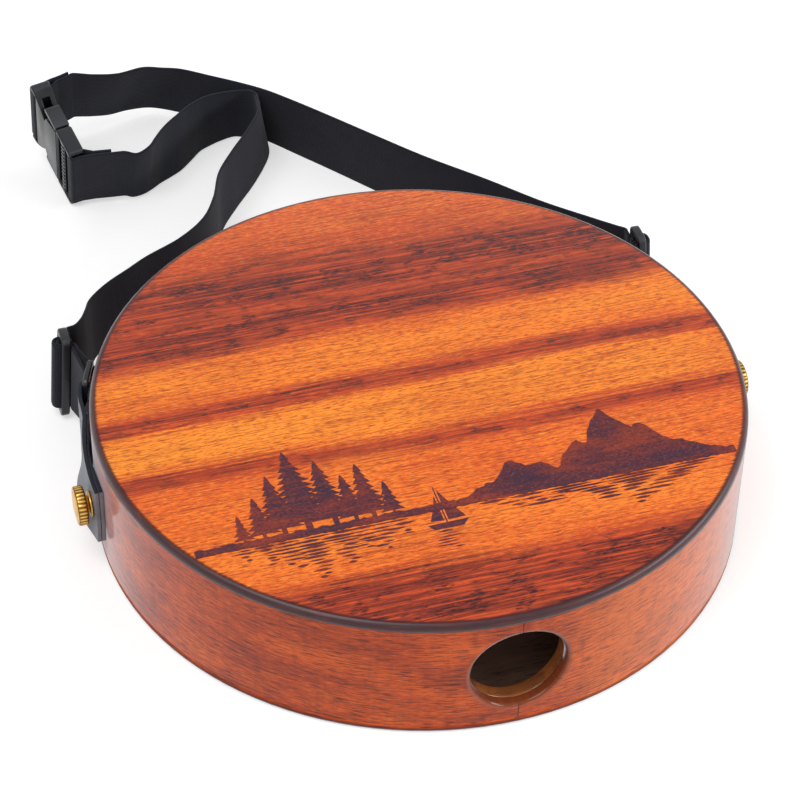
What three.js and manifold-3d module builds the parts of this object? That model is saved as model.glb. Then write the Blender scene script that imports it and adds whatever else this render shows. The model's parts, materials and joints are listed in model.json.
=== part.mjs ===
// Laptop cajon: a shallow round drum with a side sound hole, carried by a waist strap.
// Millimetres, +Z up, origin at the centre of the drum's underside, sound hole at -Y.

import * as THREE from 'three';
import { mergeVertices } from 'three/addons/utils/BufferGeometryUtils.js';
import Module from 'manifold-3d';

const wasm = await Module();
wasm.setup();

// Clearances shared by every piece
const seat = 0.3;
const overrun = 3;
const weld = 1e-4;

// Drum body: bent hoop between two plates
const drum = { radius: 150, height: 66, wall: 5, topPlate: 4, backPlate: 4, edgeRound: 3, footRound: 1.2 };
const drumFacets = 120;
const roundSteps = 4;
const cornerSteps = 2;
const soundHole = { boreRadius: 21.7, flare: 2.3 };
const holeFacets = 48;
const seam = { width: 0.5, depth: 0.9 };
const lining = { thickness: 7, height: 12 };
const splice = { thickness: 6.4, halfAngle: 0.25, sideGap: 5 };
const circleFacets = 72;

// Snare under the playing plate
const snareBar = { length: 190, width: 15, height: 9, setback: 38 };
const snareCoil = { radius: 2.2, wire: 0.7, length: 58, pitch: 3.9, spacing: 34 };
const coilFacets = 6;

// Thumbscrew, washer, insert and the block that holds it
const screw = { shankRadius: 2.45, tipInset: 17, tipChamfer: 0.8 };
const neck = { radius: 4.2, length: 1.3 };
const head = { radius: 9.2, thickness: 4.6, chamfer: 0.7, dome: 0.7, knurlDepth: 0.5 };
const domeShoulderShare = 0.75;
const knurlTeeth = 30;
const turnFacets = 30;
const hiddenFacets = 12;
const washer = { radius: 6, thickness: 0.8 };
const insert = { wall: 1.45, length: 11, groove: 0.5, grooveCount: 3 };
const screwBlock = { width: 34, gapToLining: 2, thickness: 13 };

// Leather tab
const leather = { thickness: 1.8, width: 30, freeEnd: 10, reach: 64.5, standOff: 1.9, flexLength: 24 };
const leatherSteps = 20;
const foldSteps = 9;

// Rectangular ring between leather and webbing
const ring = { wire: 3, barSpacing: 15, corner: 3, turnDegrees: 20.7, edge: 0.7 };

// Webbing and three-bar slider
const webbing = { width: 38, thickness: 1.5, clearance: 0.4 };
const slider = { endRail: 4.2, bar: 1.7, slot: 4, thickness: 4.2, corner: 3.2, edge: 0.5,
  inset: 3.2, along: 100.4, lift: 2 };
const sliderLeanShare = 0.0755;
const webbingLead = 0.8;

// Side-release buckle, in its own frame: x along the strap, y across it, z out of its face
const buckle = { width: 44, femaleLength: 32, maleLength: 18.6, mouthGap: 0.4, endThickness: 10.4,
  mouthThickness: 8.4, edge: 0.8, corner: 1.6 };
const buckleSlot = { sideClearance: 0.4, width: 3.9, endBar: 3.4, crossWall: 1.7 };
const shell = { thickness: 1.9 };
const scoopShares = [[0.14, 1], [0.27, 0.9], [0.42, 0.74], [0.55, 0.56]];
const scoopExitShares = [[0.625, 0.745], [1, 0.845]];
const guide = { halfWidth: 5.3, wall: 1.4, length: 20 };
const catchPost = { length: 2.4, width: 2 };
const prong = { gripWidth: 3, gripLength: 15.2, armInset: 9.9, armWidth: 2.3, armLength: 17,
  barb: 3.6, root: 5.6, tipRound: 2.4, faceInset: 0.2 };
const maleFrame = { base: 1.9, gripBar: 4, endBar: 3.6, endBarThickness: 4, gripRidge: 0.5, frontSlot: 4.6 };
const gripRidges = 13;
const grooveStartShare = 0.25;
const femaleLegShare = 0.33;
const maleLegShare = 0.67;
const loopLegs = { tight: 7, tail: 18, spread: 0.6, femaleShift: -4, maleShift: 5.3 };

// Where the buckle stands: its lower outer corner at the male end, in shares of the drum radius
const buckleCornerShares = [-0.7475, 1.727];
const buckleLift = 0.4;
const buckleYawDegrees = 11;
const bucklePitchDegrees = 15.5;
const buckleRollDegrees = 4;

// Strap routes, in shares of the drum radius: place, height and lean of the lower edge
const backRouteShares = [
  [-0.52, 2.137, 0.078, 0.05, -0.075],
  [-0.445, 2.162, 0.058, 0.055, -0.083], [-0.357, 2.18, 0.04, 0.034, -0.096],
  [-0.259, 2.153, 0.02, -0.002, -0.077], [-0.141, 2.072, 0.007, -0.025, -0.053],
  [-0.045, 1.985, 0.002, -0.031, -0.031], [0.03, 1.9, 0.002, -0.026, -0.018],
  [0.103, 1.805, 0.002, -0.02, -0.014], [0.191, 1.69, 0.002, -0.015, -0.014],
  [0.312, 1.527, 0.002, -0.011, -0.01], [0.44, 1.357, 0.002, -0.006, -0.006],
  [0.6, 1.165, 0.004, 0, 0], [0.745, 0.985, 0.01, 0, 0], [0.86, 0.845, 0.026, 0, 0],
  [0.925, 0.76, 0.04, 0, 0]
];
const frontRouteShares = [
  [-0.527, 1.717, 0.006, 0.012, -0.075], [-0.49, 1.724, 0.004, 0.025, -0.055],
  [-0.459, 1.741, 0.003, 0.025, -0.033], [-0.415, 1.773, 0.002, 0.015, -0.021],
  [-0.373, 1.797, 0.002, 0.005, -0.012], [-0.329, 1.825, 0.002, 0.002, -0.004],
  [-0.282, 1.871, 0.002, 0.007, -0.007], [-0.233, 1.921, 0.002, 0.017, -0.024],
  [-0.189, 1.945, 0.002, 0.018, -0.037], [-0.148, 1.962, 0.002, 0.013, -0.05],
  [-0.089, 1.974, 0.002, 0.008, -0.063], [-0.041, 1.948, 0.002, -0.005, -0.052],
  [-0.004, 1.913, 0.002, -0.028, -0.041], [0.007, 1.871, 0.002, -0.041, -0.025],
  [-0.006, 1.821, 0.002, -0.033, -0.013], [-0.04, 1.76, 0.002, -0.014, -0.002],
  [-0.108, 1.662, 0.002, -0.008, 0.002], [-0.19, 1.56, 0.002, -0.005, 0.002],
  [-0.267, 1.452, 0.002, -0.002, 0.001], [-0.32, 1.323, 0.002, 0, 0], [-0.38, 1.222, 0.002, 0, 0],
  [-0.48, 1.137, 0.002, 0, 0], [-0.615, 1.067, 0.002, 0, 0], [-0.686, 1.021, 0.002, 0, 0],
  [-0.757, 0.976, 0.002, 0, 0], [-0.797, 0.943, 0.003, 0, 0], [-0.827, 0.909, 0.008, 0, 0],
  [-0.847, 0.877, 0.015, 0, 0], [-0.867, 0.827, 0.025, 0, 0], [-0.891, 0.777, 0.035, 0, 0],
  [-0.92, 0.743, 0.041, 0, 0]
];
const ribbonSteps = { back: 60, front: 110 };
const strapLead = { buckle: 6, slider: 2 };

// Heights and places worked out from the sizes above
const screwHeight = drum.height / 2;
const innerRadius = drum.radius - drum.wall;
const chamberLow = drum.backPlate;
const chamberHigh = drum.height - drum.topPlate;
const sliderHeight = webbing.width + 2 * (slider.endRail + webbing.clearance);
const sliderOutward = drum.radius - slider.inset;
const webbingLow = slider.lift + slider.endRail + webbing.clearance;
const webbingHigh = webbingLow + webbing.width;
const webbingMiddle = (webbingLow + webbingHigh) / 2;
const ringWindowLow = webbingLow - webbing.clearance;
const ringWindowHigh = Math.max(screwHeight + leather.width / 2 + seat, webbingHigh + seat);
const sheath = seat + webbing.thickness / 2;

function finish(color, roughness, metalness = 0) {
  return new THREE.MeshStandardMaterial({ color, roughness, metalness, flatShading: true });
}

const lacqueredTop = () => finish(0xc8692c, 0.35);
const lacqueredSide = () => finish(0x7a3320, 0.3);
const rawWood = () => finish(0x8a5a35, 0.8);
const brass = () => finish(0xc9a052, 0.32, 1);
const steel = () => finish(0xb9bcc0, 0.35, 1);
const hide = () => finish(0x1d1d20, 0.6);
const blackPlastic = () => finish(0x2b2c30, 0.5);
const blackWebbing = () => finish(0x26272b, 0.9);

// Mesh clean-up and booleans

function signedVolume(geometry) {
  const at = geometry.attributes.position;
  const index = geometry.index.array;
  const [a, b, c] = [new THREE.Vector3(), new THREE.Vector3(), new THREE.Vector3()];
  let total = 0;
  for (let i = 0; i < index.length; i += 3) {
    a.fromBufferAttribute(at, index[i]);
    b.fromBufferAttribute(at, index[i + 1]);
    c.fromBufferAttribute(at, index[i + 2]);
    total += a.dot(b.cross(c)) / 6;
  }
  return total;
}

function closed(geometry) {
  const bare = new THREE.BufferGeometry();
  bare.setAttribute('position', geometry.attributes.position.clone());
  if (geometry.index) bare.setIndex(geometry.index.clone());
  const merged = mergeVertices(bare, weld);
  const kept = [];
  const source = merged.index.array;
  for (let i = 0; i < source.length; i += 3) {
    const [a, b, c] = [source[i], source[i + 1], source[i + 2]];
    if (a !== b && b !== c && c !== a) kept.push(a, b, c);
  }
  merged.setIndex(kept);
  if (signedVolume(merged) < 0) {
    for (let i = 0; i < kept.length; i += 3) [kept[i], kept[i + 1]] = [kept[i + 1], kept[i]];
    merged.setIndex(kept);
  }
  return merged;
}

function solid(geometry) {
  const clean = closed(geometry);
  return new wasm.Manifold(new wasm.Mesh({
    numProp: 3,
    vertProperties: new Float32Array(clean.attributes.position.array),
    triVerts: new Uint32Array(clean.index.array)
  }));
}

function geometryOf(manifold) {
  const mesh = manifold.getMesh();
  const geometry = new THREE.BufferGeometry();
  geometry.setAttribute('position', new THREE.BufferAttribute(new Float32Array(mesh.vertProperties), 3));
  geometry.setIndex(Array.from(mesh.triVerts));
  return geometry;
}

const cut = (base, ...tools) =>
  geometryOf(tools.reduce((body, tool) => body.subtract(solid(tool)), solid(base)));
const join = (base, ...tools) =>
  geometryOf(tools.reduce((body, tool) => body.add(solid(tool)), solid(base)));
const common = (base, tool) => geometryOf(solid(base).intersect(solid(tool)));

// Basic forms

function block(x0, x1, y0, y1, z0, z1) {
  return new THREE.BoxGeometry(x1 - x0, y1 - y0, z1 - z0)
    .translate((x0 + x1) / 2, (y0 + y1) / 2, (z0 + z1) / 2);
}

function revolve(profile, facets) {
  const loop = [...profile, profile[0]].map(([r, z]) => new THREE.Vector2(r, z));
  return new THREE.LatheGeometry(loop, facets).rotateX(Math.PI / 2);
}

// Turns a form made along Z so that it runs outward along X, starting at a given place
function outwardFrom(geometry, start) {
  return geometry.rotateY(Math.PI / 2).translate(start, 0, screwHeight);
}

function rod(radius, low, high, facets) {
  return new THREE.CylinderGeometry(radius, radius, high - low, facets)
    .rotateX(Math.PI / 2).translate(0, 0, (low + high) / 2);
}

function quarter(centreR, centreZ, radius, fromAngle, toAngle, steps = roundSteps) {
  const points = [];
  for (let i = 0; i <= steps; i += 1) {
    const angle = fromAngle + (toAngle - fromAngle) * i / steps;
    points.push([centreR + radius * Math.cos(angle), centreZ + radius * Math.sin(angle)]);
  }
  return points;
}

function raise(shape, low, high, bevel = 0) {
  const options = bevel > 0
    ? { depth: high - low - 2 * bevel, bevelEnabled: true, bevelThickness: bevel, bevelSize: bevel,
      bevelOffset: -bevel, bevelSegments: 1, curveSegments: cornerSteps }
    : { depth: high - low, bevelEnabled: false, curveSegments: cornerSteps };
  return new THREE.ExtrudeGeometry(shape, options).translate(0, 0, low + bevel);
}

// Shape x, y and height become the part's y, z and x
function standOnEdge(geometry) {
  const basis = new THREE.Matrix4().makeBasis(
    new THREE.Vector3(0, 1, 0), new THREE.Vector3(0, 0, 1), new THREE.Vector3(1, 0, 0));
  return geometry.applyMatrix4(basis);
}

// Shape x, y and height become the buckle's x, z and y
function acrossStrap(geometry) {
  return geometry.rotateX(Math.PI / 2);
}

function roundedRectangle(target, x0, x1, y0, y1, radius) {
  target.moveTo(x0 + radius, y0);
  target.lineTo(x1 - radius, y0);
  target.absarc(x1 - radius, y0 + radius, radius, -Math.PI / 2, 0, false);
  target.lineTo(x1, y1 - radius);
  target.absarc(x1 - radius, y1 - radius, radius, 0, Math.PI / 2, false);
  target.lineTo(x0 + radius, y1);
  target.absarc(x0 + radius, y1 - radius, radius, Math.PI / 2, Math.PI, false);
  target.lineTo(x0, y0 + radius);
  target.absarc(x0 + radius, y0 + radius, radius, Math.PI, Math.PI * 1.5, false);
  return target;
}

function arcBand(inner, outer, middleAngle, halfAngle, low, high) {
  const shape = new THREE.Shape();
  shape.absarc(0, 0, outer, middleAngle - halfAngle, middleAngle + halfAngle, false);
  shape.absarc(0, 0, inner, middleAngle + halfAngle, middleAngle - halfAngle, true);
  shape.closePath();
  const curveSegments = Math.ceil(circleFacets * halfAngle / 2 / Math.PI);
  return new THREE.ExtrudeGeometry(shape, { depth: high - low, bevelEnabled: false, curveSegments })
    .translate(0, 0, low);
}

// A flat strip seen edge on: the outline at half a thickness on each side of its middle line
function stripOutline(line, thickness) {
  const near = [];
  const far = [];
  line.forEach((point, i) => {
    const before = line[Math.max(i - 1, 0)];
    const after = line[Math.min(i + 1, line.length - 1)];
    const along = new THREE.Vector2().subVectors(after, before).normalize();
    const side = new THREE.Vector2(-along.y, along.x).multiplyScalar(thickness / 2);
    near.push(new THREE.Vector2().addVectors(point, side));
    far.unshift(new THREE.Vector2().subVectors(point, side));
  });
  return new THREE.Shape([...near, ...far]);
}

// Drum

const hoopAxisAngle = -Math.PI / 2;

// Revolved about the hole's axis, then bent so that its flare follows the round wall
function soundHoleCutter() {
  const rim = soundHole.boreRadius + soundHole.flare;
  const depth = drum.wall + splice.thickness + overrun;
  const flare = quarter(rim, soundHole.flare, soundHole.flare, -Math.PI / 2, -Math.PI);
  const profile = [[0, -overrun], [rim, -overrun], ...flare, [soundHole.boreRadius, depth], [0, depth]];
  const cutter = new THREE.LatheGeometry(
    [...profile, profile[0]].map(([r, d]) => new THREE.Vector2(r, d)), holeFacets);
  const at = cutter.attributes.position;
  for (let i = 0; i < at.count; i += 1) {
    const x = at.getX(i);
    const surface = Math.sqrt(drum.radius ** 2 - x ** 2);
    at.setXYZ(i, x, at.getY(i) - surface, at.getZ(i) + drum.height / 2);
  }
  return cutter;
}

function screwHoleCutter(radius, side) {
  const drill = rod(radius, innerRadius - screwBlock.thickness - overrun, drum.radius + overrun, turnFacets);
  return drill.rotateY(side * Math.PI / 2).translate(0, 0, screwHeight);
}

function hoop() {
  const wall = revolve([[innerRadius, chamberLow], [drum.radius, chamberLow],
    [drum.radius, chamberHigh], [innerRadius, chamberHigh]], drumFacets);
  const groove = block(-seam.width / 2, seam.width / 2, -drum.radius - overrun,
    -drum.radius + seam.depth, chamberLow - overrun, chamberHigh + overrun);
  const shankHole = screw.shankRadius + seat;
  return cut(wall, soundHoleCutter(), groove, screwHoleCutter(shankHole, 1), screwHoleCutter(shankHole, -1));
}

function topPlate() {
  const round = quarter(drum.radius - drum.edgeRound, drum.height - drum.edgeRound, drum.edgeRound,
    0, Math.PI / 2);
  return revolve([[0, chamberHigh], [drum.radius, chamberHigh], ...round, [0, drum.height]], drumFacets);
}

function backPlate() {
  const round = quarter(drum.radius - drum.footRound, drum.footRound, drum.footRound, -Math.PI / 2, 0,
    cornerSteps);
  return revolve([[0, 0], ...round, [drum.radius, chamberLow], [0, chamberLow]], drumFacets);
}

function liningRing(low) {
  const outer = innerRadius - seat;
  const clearAngle = splice.halfAngle + splice.sideGap / outer;
  return arcBand(outer - lining.thickness, outer, Math.PI / 2, Math.PI - clearAngle, low, low + lining.height);
}

function spliceBlock() {
  const outer = innerRadius - seat;
  const body = arcBand(outer - splice.thickness, outer, hoopAxisAngle, splice.halfAngle,
    chamberLow, chamberHigh);
  return cut(body, soundHoleCutter());
}

// Snare

const snareFront = snareBar.setback - snareBar.width / 2;

function snareBarBody() {
  return block(-snareBar.length / 2, snareBar.length / 2, snareFront, snareFront + snareBar.width,
    chamberHigh - snareBar.height, chamberHigh);
}

function snareCoilBody(side) {
  const turns = Math.round(snareCoil.length / snareCoil.pitch);
  const profile = [[0, 0]];
  for (let i = 0; i < turns; i += 1) {
    const start = i * snareCoil.length / turns;
    profile.push([snareCoil.radius - snareCoil.wire, start]);
    profile.push([snareCoil.radius, start + snareCoil.length / turns / 2]);
  }
  profile.push([snareCoil.radius - snareCoil.wire, snareCoil.length], [0, snareCoil.length]);
  return revolve(profile, coilFacets).rotateX(Math.PI / 2)
    .translate(side * snareCoil.spacing / 2, snareFront - seat, chamberHigh - seat - snareCoil.radius);
}

// Thumbscrew assembly, made along +X for the right side

const leatherFace = drum.radius + 2 * seat + 2 * leather.thickness;
const washerStart = leatherFace + seat;
const neckStart = washerStart + washer.thickness + seat;

function washerBody() {
  const bore = screw.shankRadius + seat;
  return outwardFrom(revolve([[bore, 0], [washer.radius, 0], [washer.radius, washer.thickness],
    [bore, washer.thickness]], turnFacets), washerStart);
}

function knurledDisc(low, high) {
  const shape = new THREE.Shape();
  for (let i = 0; i < knurlTeeth * 2; i += 1) {
    const radius = head.radius - (i % 2 ? head.knurlDepth : 0);
    const angle = i * Math.PI / knurlTeeth;
    const place = [radius * Math.cos(angle), radius * Math.sin(angle)];
    if (i) shape.lineTo(...place);
    else shape.moveTo(...place);
  }
  return raise(shape, low, high);
}

function thumbscrew() {
  const headStart = neck.length;
  const headEnd = headStart + head.thickness;
  const tip = -(neckStart - (drum.radius - screw.tipInset));
  const envelope = revolve([[0, headStart], [head.radius - head.chamfer, headStart],
    [head.radius, headStart + head.chamfer], [head.radius, headEnd - head.chamfer],
    [head.radius - head.chamfer, headEnd], [head.radius / 2, headEnd + head.dome * domeShoulderShare],
    [0, headEnd + head.dome]], turnFacets);
  const knurled = common(envelope, knurledDisc(headStart - overrun, headEnd + head.dome + overrun));
  const sunk = head.chamfer;
  const stem = revolve([[0, tip], [screw.shankRadius - screw.tipChamfer, tip],
    [screw.shankRadius, tip + screw.tipChamfer], [screw.shankRadius, 0], [neck.radius, 0],
    [neck.radius, headStart + sunk], [0, headStart + sunk]], turnFacets);
  return outwardFrom(join(knurled, stem), neckStart);
}

function threadedInsert() {
  const bore = screw.shankRadius + seat;
  const outer = bore + insert.wall;
  const step = insert.length / insert.grooveCount;
  const rim = [];
  for (let i = 0; i < insert.grooveCount; i += 1) {
    const start = i * step;
    rim.push([outer, start], [outer, start + step - 2 * insert.groove],
      [outer - insert.groove, start + step - insert.groove]);
  }
  return outwardFrom(revolve([[bore, 0], ...rim, [outer, insert.length], [bore, insert.length]],
    hiddenFacets), innerRadius - seat - insert.length);
}

function screwBlockBody() {
  const outer = innerRadius - seat;
  const toPlate = lining.height + screwBlock.gapToLining;
  const body = arcBand(outer - screwBlock.thickness, outer, 0, screwBlock.width / 2 / outer,
    chamberLow + toPlate, chamberHigh - toPlate);
  const insertRadius = screw.shankRadius + seat + insert.wall;
  return cut(body, screwHoleCutter(insertRadius + seat, 1));
}

// Leather tab: two layers on the wall, folded round the ring's first bar

const firstBarRadius = drum.radius + leather.standOff + 2 * seat + leather.thickness + ring.wire / 2;
const firstBarAngle = leather.reach / firstBarRadius;
const firstBar = new THREE.Vector2(firstBarRadius * Math.cos(firstBarAngle),
  firstBarRadius * Math.sin(firstBarAngle));
const ringHeading = new THREE.Vector2(-Math.sin(THREE.MathUtils.degToRad(ring.turnDegrees)),
  Math.cos(THREE.MathUtils.degToRad(ring.turnDegrees)));
const secondBar = firstBar.clone().addScaledVector(ringHeading, ring.barSpacing);

function leatherTab() {
  const foldRadius = ring.wire / 2 + seat + leather.thickness / 2;
  const inner = drum.radius + seat + leather.thickness / 2;
  const outer = inner + leather.thickness + seat;
  const flexStart = firstBarAngle - leather.flexLength / firstBarRadius;
  const freeAngle = leather.freeEnd / outer;
  const layer = (from, to) => {
    const points = [];
    for (let i = 0; i <= leatherSteps; i += 1) {
      const angle = (firstBarAngle + freeAngle) * i / leatherSteps - freeAngle;
      const bend = THREE.MathUtils.smoothstep(angle, flexStart, firstBarAngle);
      const r = from + (to - from) * bend;
      points.push(new THREE.Vector2(r * Math.cos(angle), r * Math.sin(angle)));
    }
    return points;
  };
  const fold = [];
  for (let i = 1; i < foldSteps; i += 1) {
    const angle = firstBarAngle + Math.PI - Math.PI * i / foldSteps;
    fold.push(firstBar.clone().add(new THREE.Vector2(Math.cos(angle), Math.sin(angle))
      .multiplyScalar(foldRadius)));
  }
  const line = [...layer(inner, firstBarRadius - foldRadius), ...fold,
    ...layer(outer, firstBarRadius + foldRadius).reverse()];
  const body = raise(stripOutline(line, leather.thickness), screwHeight - leather.width / 2,
    screwHeight + leather.width / 2);
  return cut(body, screwHoleCutter(screw.shankRadius + seat, 1).translate(overrun, 0, 0));
}

function ringBody() {
  const reach = ring.barSpacing / 2 + ring.wire / 2;
  const outline = roundedRectangle(new THREE.Shape(), -reach, reach, ringWindowLow - ring.wire,
    ringWindowHigh + ring.wire, ring.corner);
  const inside = ring.barSpacing / 2 - ring.wire / 2;
  outline.holes.push(roundedRectangle(new THREE.Path(), -inside, inside, ringWindowLow, ringWindowHigh,
    ring.edge));
  const middle = firstBar.clone().add(secondBar).multiplyScalar(0.5);
  return standOnEdge(raise(outline, -ring.wire / 2, ring.wire / 2, ring.edge))
    .rotateZ(THREE.MathUtils.degToRad(ring.turnDegrees)).translate(middle.x, middle.y, 0);
}

// The slider and its webbing lean, the lower edge further out, by a share that grows along the webbing
function leanOutward(geometry, start, end) {
  const at = geometry.attributes.position;
  for (let i = 0; i < at.count; i += 1) {
    const share = Math.min(Math.max((at.getY(i) - start) / (end - start), 0), 1);
    at.setX(i, at.getX(i) + sliderLeanShare * share * (webbingMiddle - at.getZ(i)));
  }
  return geometry;
}

const sliderStep = slider.bar + slider.slot;
const sliderLength = 3 * slider.bar + 2 * slider.slot;

function sliderBody() {
  const outline = roundedRectangle(new THREE.Shape(), slider.along - sliderLength / 2,
    slider.along + sliderLength / 2, slider.lift, slider.lift + sliderHeight, slider.corner);
  for (const side of [-1, 1]) {
    const middle = slider.along + side * sliderStep / 2;
    outline.holes.push(roundedRectangle(new THREE.Path(), middle - slider.slot / 2,
      middle + slider.slot / 2, slider.lift + slider.endRail, slider.lift + sliderHeight - slider.endRail,
      slider.edge));
  }
  const plate = standOnEdge(raise(outline, sliderOutward - slider.thickness / 2,
    sliderOutward + slider.thickness / 2, slider.edge));
  return leanOutward(plate, -overrun, 0);
}

// Webbing end: through the slider over its middle bar, round the ring, back and round the middle bar
const innerFace = sliderOutward - slider.thickness / 2;
const outerFace = sliderOutward + slider.thickness / 2;
const farBarEdge = slider.along + sliderStep - slider.bar / 2;
const nearBarEdge = slider.along - sliderStep + slider.bar / 2;
const webbingEnd = new THREE.Vector2(innerFace - sheath,
  slider.along + sliderLength / 2 + webbingLead);

function webbingLoop() {
  const outerTurn = farBarEdge - sheath - (slider.along + slider.bar / 2);
  const entry = slider.along - sliderLength / 2;
  const layers = [innerFace - sheath, innerFace - outerTurn];
  const middleIn = new THREE.Vector2((layers[0] + layers[1]) / 2, entry);
  const heading = new THREE.Vector2().subVectors(secondBar, middleIn).normalize();
  const foldRadius = ring.wire / 2 + sheath;
  const foldStart = Math.atan2(heading.x, -heading.y);
  const quarterTurn = Math.PI / 2;
  const route = new THREE.Path();
  route.moveTo(webbingEnd.x, webbingEnd.y);
  route.lineTo(innerFace - sheath, farBarEdge);
  route.absarc(innerFace, farBarEdge, sheath, Math.PI, Math.PI + quarterTurn, false);
  route.absarc(outerFace, slider.along + slider.bar / 2, outerTurn, quarterTurn, 0, true);
  route.absarc(outerFace, slider.along - slider.bar / 2, outerTurn, 0, -quarterTurn, true);
  route.absarc(innerFace, nearBarEdge, sheath, quarterTurn, Math.PI, false);
  route.lineTo(layers[0], entry);
  route.absarc(secondBar.x, secondBar.y, foldRadius, foldStart, foldStart - Math.PI, true);
  route.lineTo(layers[1], entry);
  route.absarc(innerFace, nearBarEdge, outerTurn, Math.PI, quarterTurn, true);
  route.absarc(outerFace, slider.along - slider.bar / 2, sheath, -quarterTurn, 0, false);
  route.absarc(outerFace, slider.along + slider.bar / 2, sheath, 0, quarterTurn, false);
  route.absarc(innerFace, slider.along + slider.bar / 2, sheath, quarterTurn, Math.PI, false);
  route.lineTo(innerFace - sheath, slider.along - slider.bar / 2 + seat);
  const loop = raise(stripOutline(route.getPoints(cornerSteps + 1), webbing.thickness), webbingLow,
    webbingHigh);
  return leanOutward(loop, secondBar.y + foldRadius, entry);
}

// Buckle

const halfWidth = buckle.width / 2;
const buckleLength = buckle.femaleLength + buckle.maleLength;
const slotHalf = webbing.width / 2 + buckleSlot.sideClearance;
const cavityHalf = buckle.mouthThickness / 2 - shell.thickness;
const cavityStart = buckleSlot.endBar + buckleSlot.width + buckleSlot.crossWall;
const prongRootX = buckle.femaleLength - seat;
const gripInner = halfWidth - prong.gripWidth;

// Half the female half's thickness at a place along it
function halfThicknessAt(x) {
  const share = x / buckle.femaleLength;
  return (buckle.endThickness + (buckle.mouthThickness - buckle.endThickness) * share) / 2;
}

function sideTaper(x0, x1) {
  const shape = new THREE.Shape();
  shape.moveTo(x0, -halfThicknessAt(x0));
  shape.lineTo(x1, -halfThicknessAt(x1));
  shape.lineTo(x1, halfThicknessAt(x1));
  shape.lineTo(x0, halfThicknessAt(x0));
  shape.closePath();
  return acrossStrap(raise(shape, -halfWidth - overrun, halfWidth + overrun));
}

function femaleOutline() {
  const place = ([x, y], side) =>
    new THREE.Vector2(x * buckle.femaleLength, side * y * halfWidth);
  const scoop = (side) => new THREE.SplineCurve(scoopShares.map((p) => place(p, side))).getPoints(8);
  const upper = [...scoop(1), ...scoopExitShares.map((p) => place(p, 1))];
  const lower = [...scoop(-1), ...scoopExitShares.map((p) => place(p, -1))].reverse();
  const shape = new THREE.Shape();
  const corner = buckle.corner;
  shape.moveTo(corner, halfWidth);
  upper.forEach((p) => shape.lineTo(p.x, p.y));
  lower.forEach((p) => shape.lineTo(p.x, p.y));
  shape.lineTo(corner, -halfWidth);
  shape.absarc(corner, -halfWidth + corner, corner, -Math.PI / 2, -Math.PI, true);
  shape.absarc(corner, halfWidth - corner, corner, Math.PI, Math.PI / 2, true);
  return shape;
}

const postX = buckle.femaleLength - prong.armLength + prong.barb + webbing.clearance;
const postInner = prong.armInset + prong.armWidth + 2 * seat;

function buckleFemale() {
  const half = buckle.endThickness / 2;
  const body = common(raise(femaleOutline(), -half, half, buckle.edge),
    sideTaper(-overrun, buckle.femaleLength + overrun));
  const cavity = block(cavityStart, buckle.femaleLength + overrun, -buckle.width, buckle.width,
    -cavityHalf, cavityHalf);
  const slot = block(buckleSlot.endBar, buckleSlot.endBar + buckleSlot.width, -slotHalf, slotHalf,
    -buckle.endThickness, buckle.endThickness);
  const relief = buckle.endThickness / 2 - shell.thickness;
  const reliefs = [-1, 1].map((side) => block(-overrun, buckleSlot.endBar + seat, -slotHalf, slotHalf,
    Math.min(side * relief, side * buckle.endThickness), Math.max(side * relief, side * buckle.endThickness)));
  const open = cut(body, cavity, slot, ...reliefs);
  const bite = shell.thickness / 2;
  const ribs = [];
  for (const side of [-1, 1]) {
    const wallInner = side * (guide.halfWidth + seat);
    const wallOuter = wallInner + side * guide.wall;
    ribs.push(block(cavityStart - bite, buckle.femaleLength - overrun, Math.min(wallInner, wallOuter),
      Math.max(wallInner, wallOuter), -cavityHalf - bite, cavityHalf + bite));
    const postOuter = side * (postInner + catchPost.width);
    ribs.push(block(postX, postX + catchPost.length, Math.min(side * postInner, postOuter),
      Math.max(side * postInner, postOuter), -cavityHalf - bite, cavityHalf + bite));
  }
  return join(open, ...ribs);
}

function buckleMale() {
  const half = buckle.mouthThickness / 2;
  const start = buckle.femaleLength + buckle.mouthGap;
  const frame = roundedRectangle(new THREE.Shape(), start, buckleLength, -halfWidth, halfWidth,
    buckle.corner);
  const frontStart = start + maleFrame.base;
  const backStart = frontStart + maleFrame.frontSlot + maleFrame.gripBar;
  const windows = [[frontStart, frontStart + maleFrame.frontSlot],
    [backStart, buckleLength - maleFrame.endBar]];
  windows.forEach(([x0, x1]) => frame.holes.push(
    roundedRectangle(new THREE.Path(), x0, x1, -slotHalf, slotHalf, buckle.edge)));
  const body = raise(frame, -half, half, buckle.edge);
  const barHalf = maleFrame.endBarThickness / 2;
  const thin = [-1, 1].map((side) => block(buckleLength - maleFrame.endBar - seat,
    buckleLength + overrun, -slotHalf, slotHalf, Math.min(side * barHalf, side * buckle.endThickness),
    Math.max(side * barHalf, side * buckle.endThickness)));
  const ridgeStep = 2 * slotHalf / gripRidges;
  const grooves = [];
  for (let i = 0; i < gripRidges; i += 1) {
    const y = -slotHalf + (i + grooveStartShare) * ridgeStep;
    grooves.push(block(frontStart + maleFrame.frontSlot - seat, backStart + seat, y, y + ridgeStep / 2,
      half - maleFrame.gripRidge, half + overrun));
  }
  const tongueHalf = cavityHalf - seat;
  const tongue = block(buckle.femaleLength - guide.length, start + maleFrame.base / 2, -guide.halfWidth,
    guide.halfWidth, -tongueHalf, tongueHalf);
  return join(cut(body, ...thin, ...grooves), tongue);
}

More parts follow.
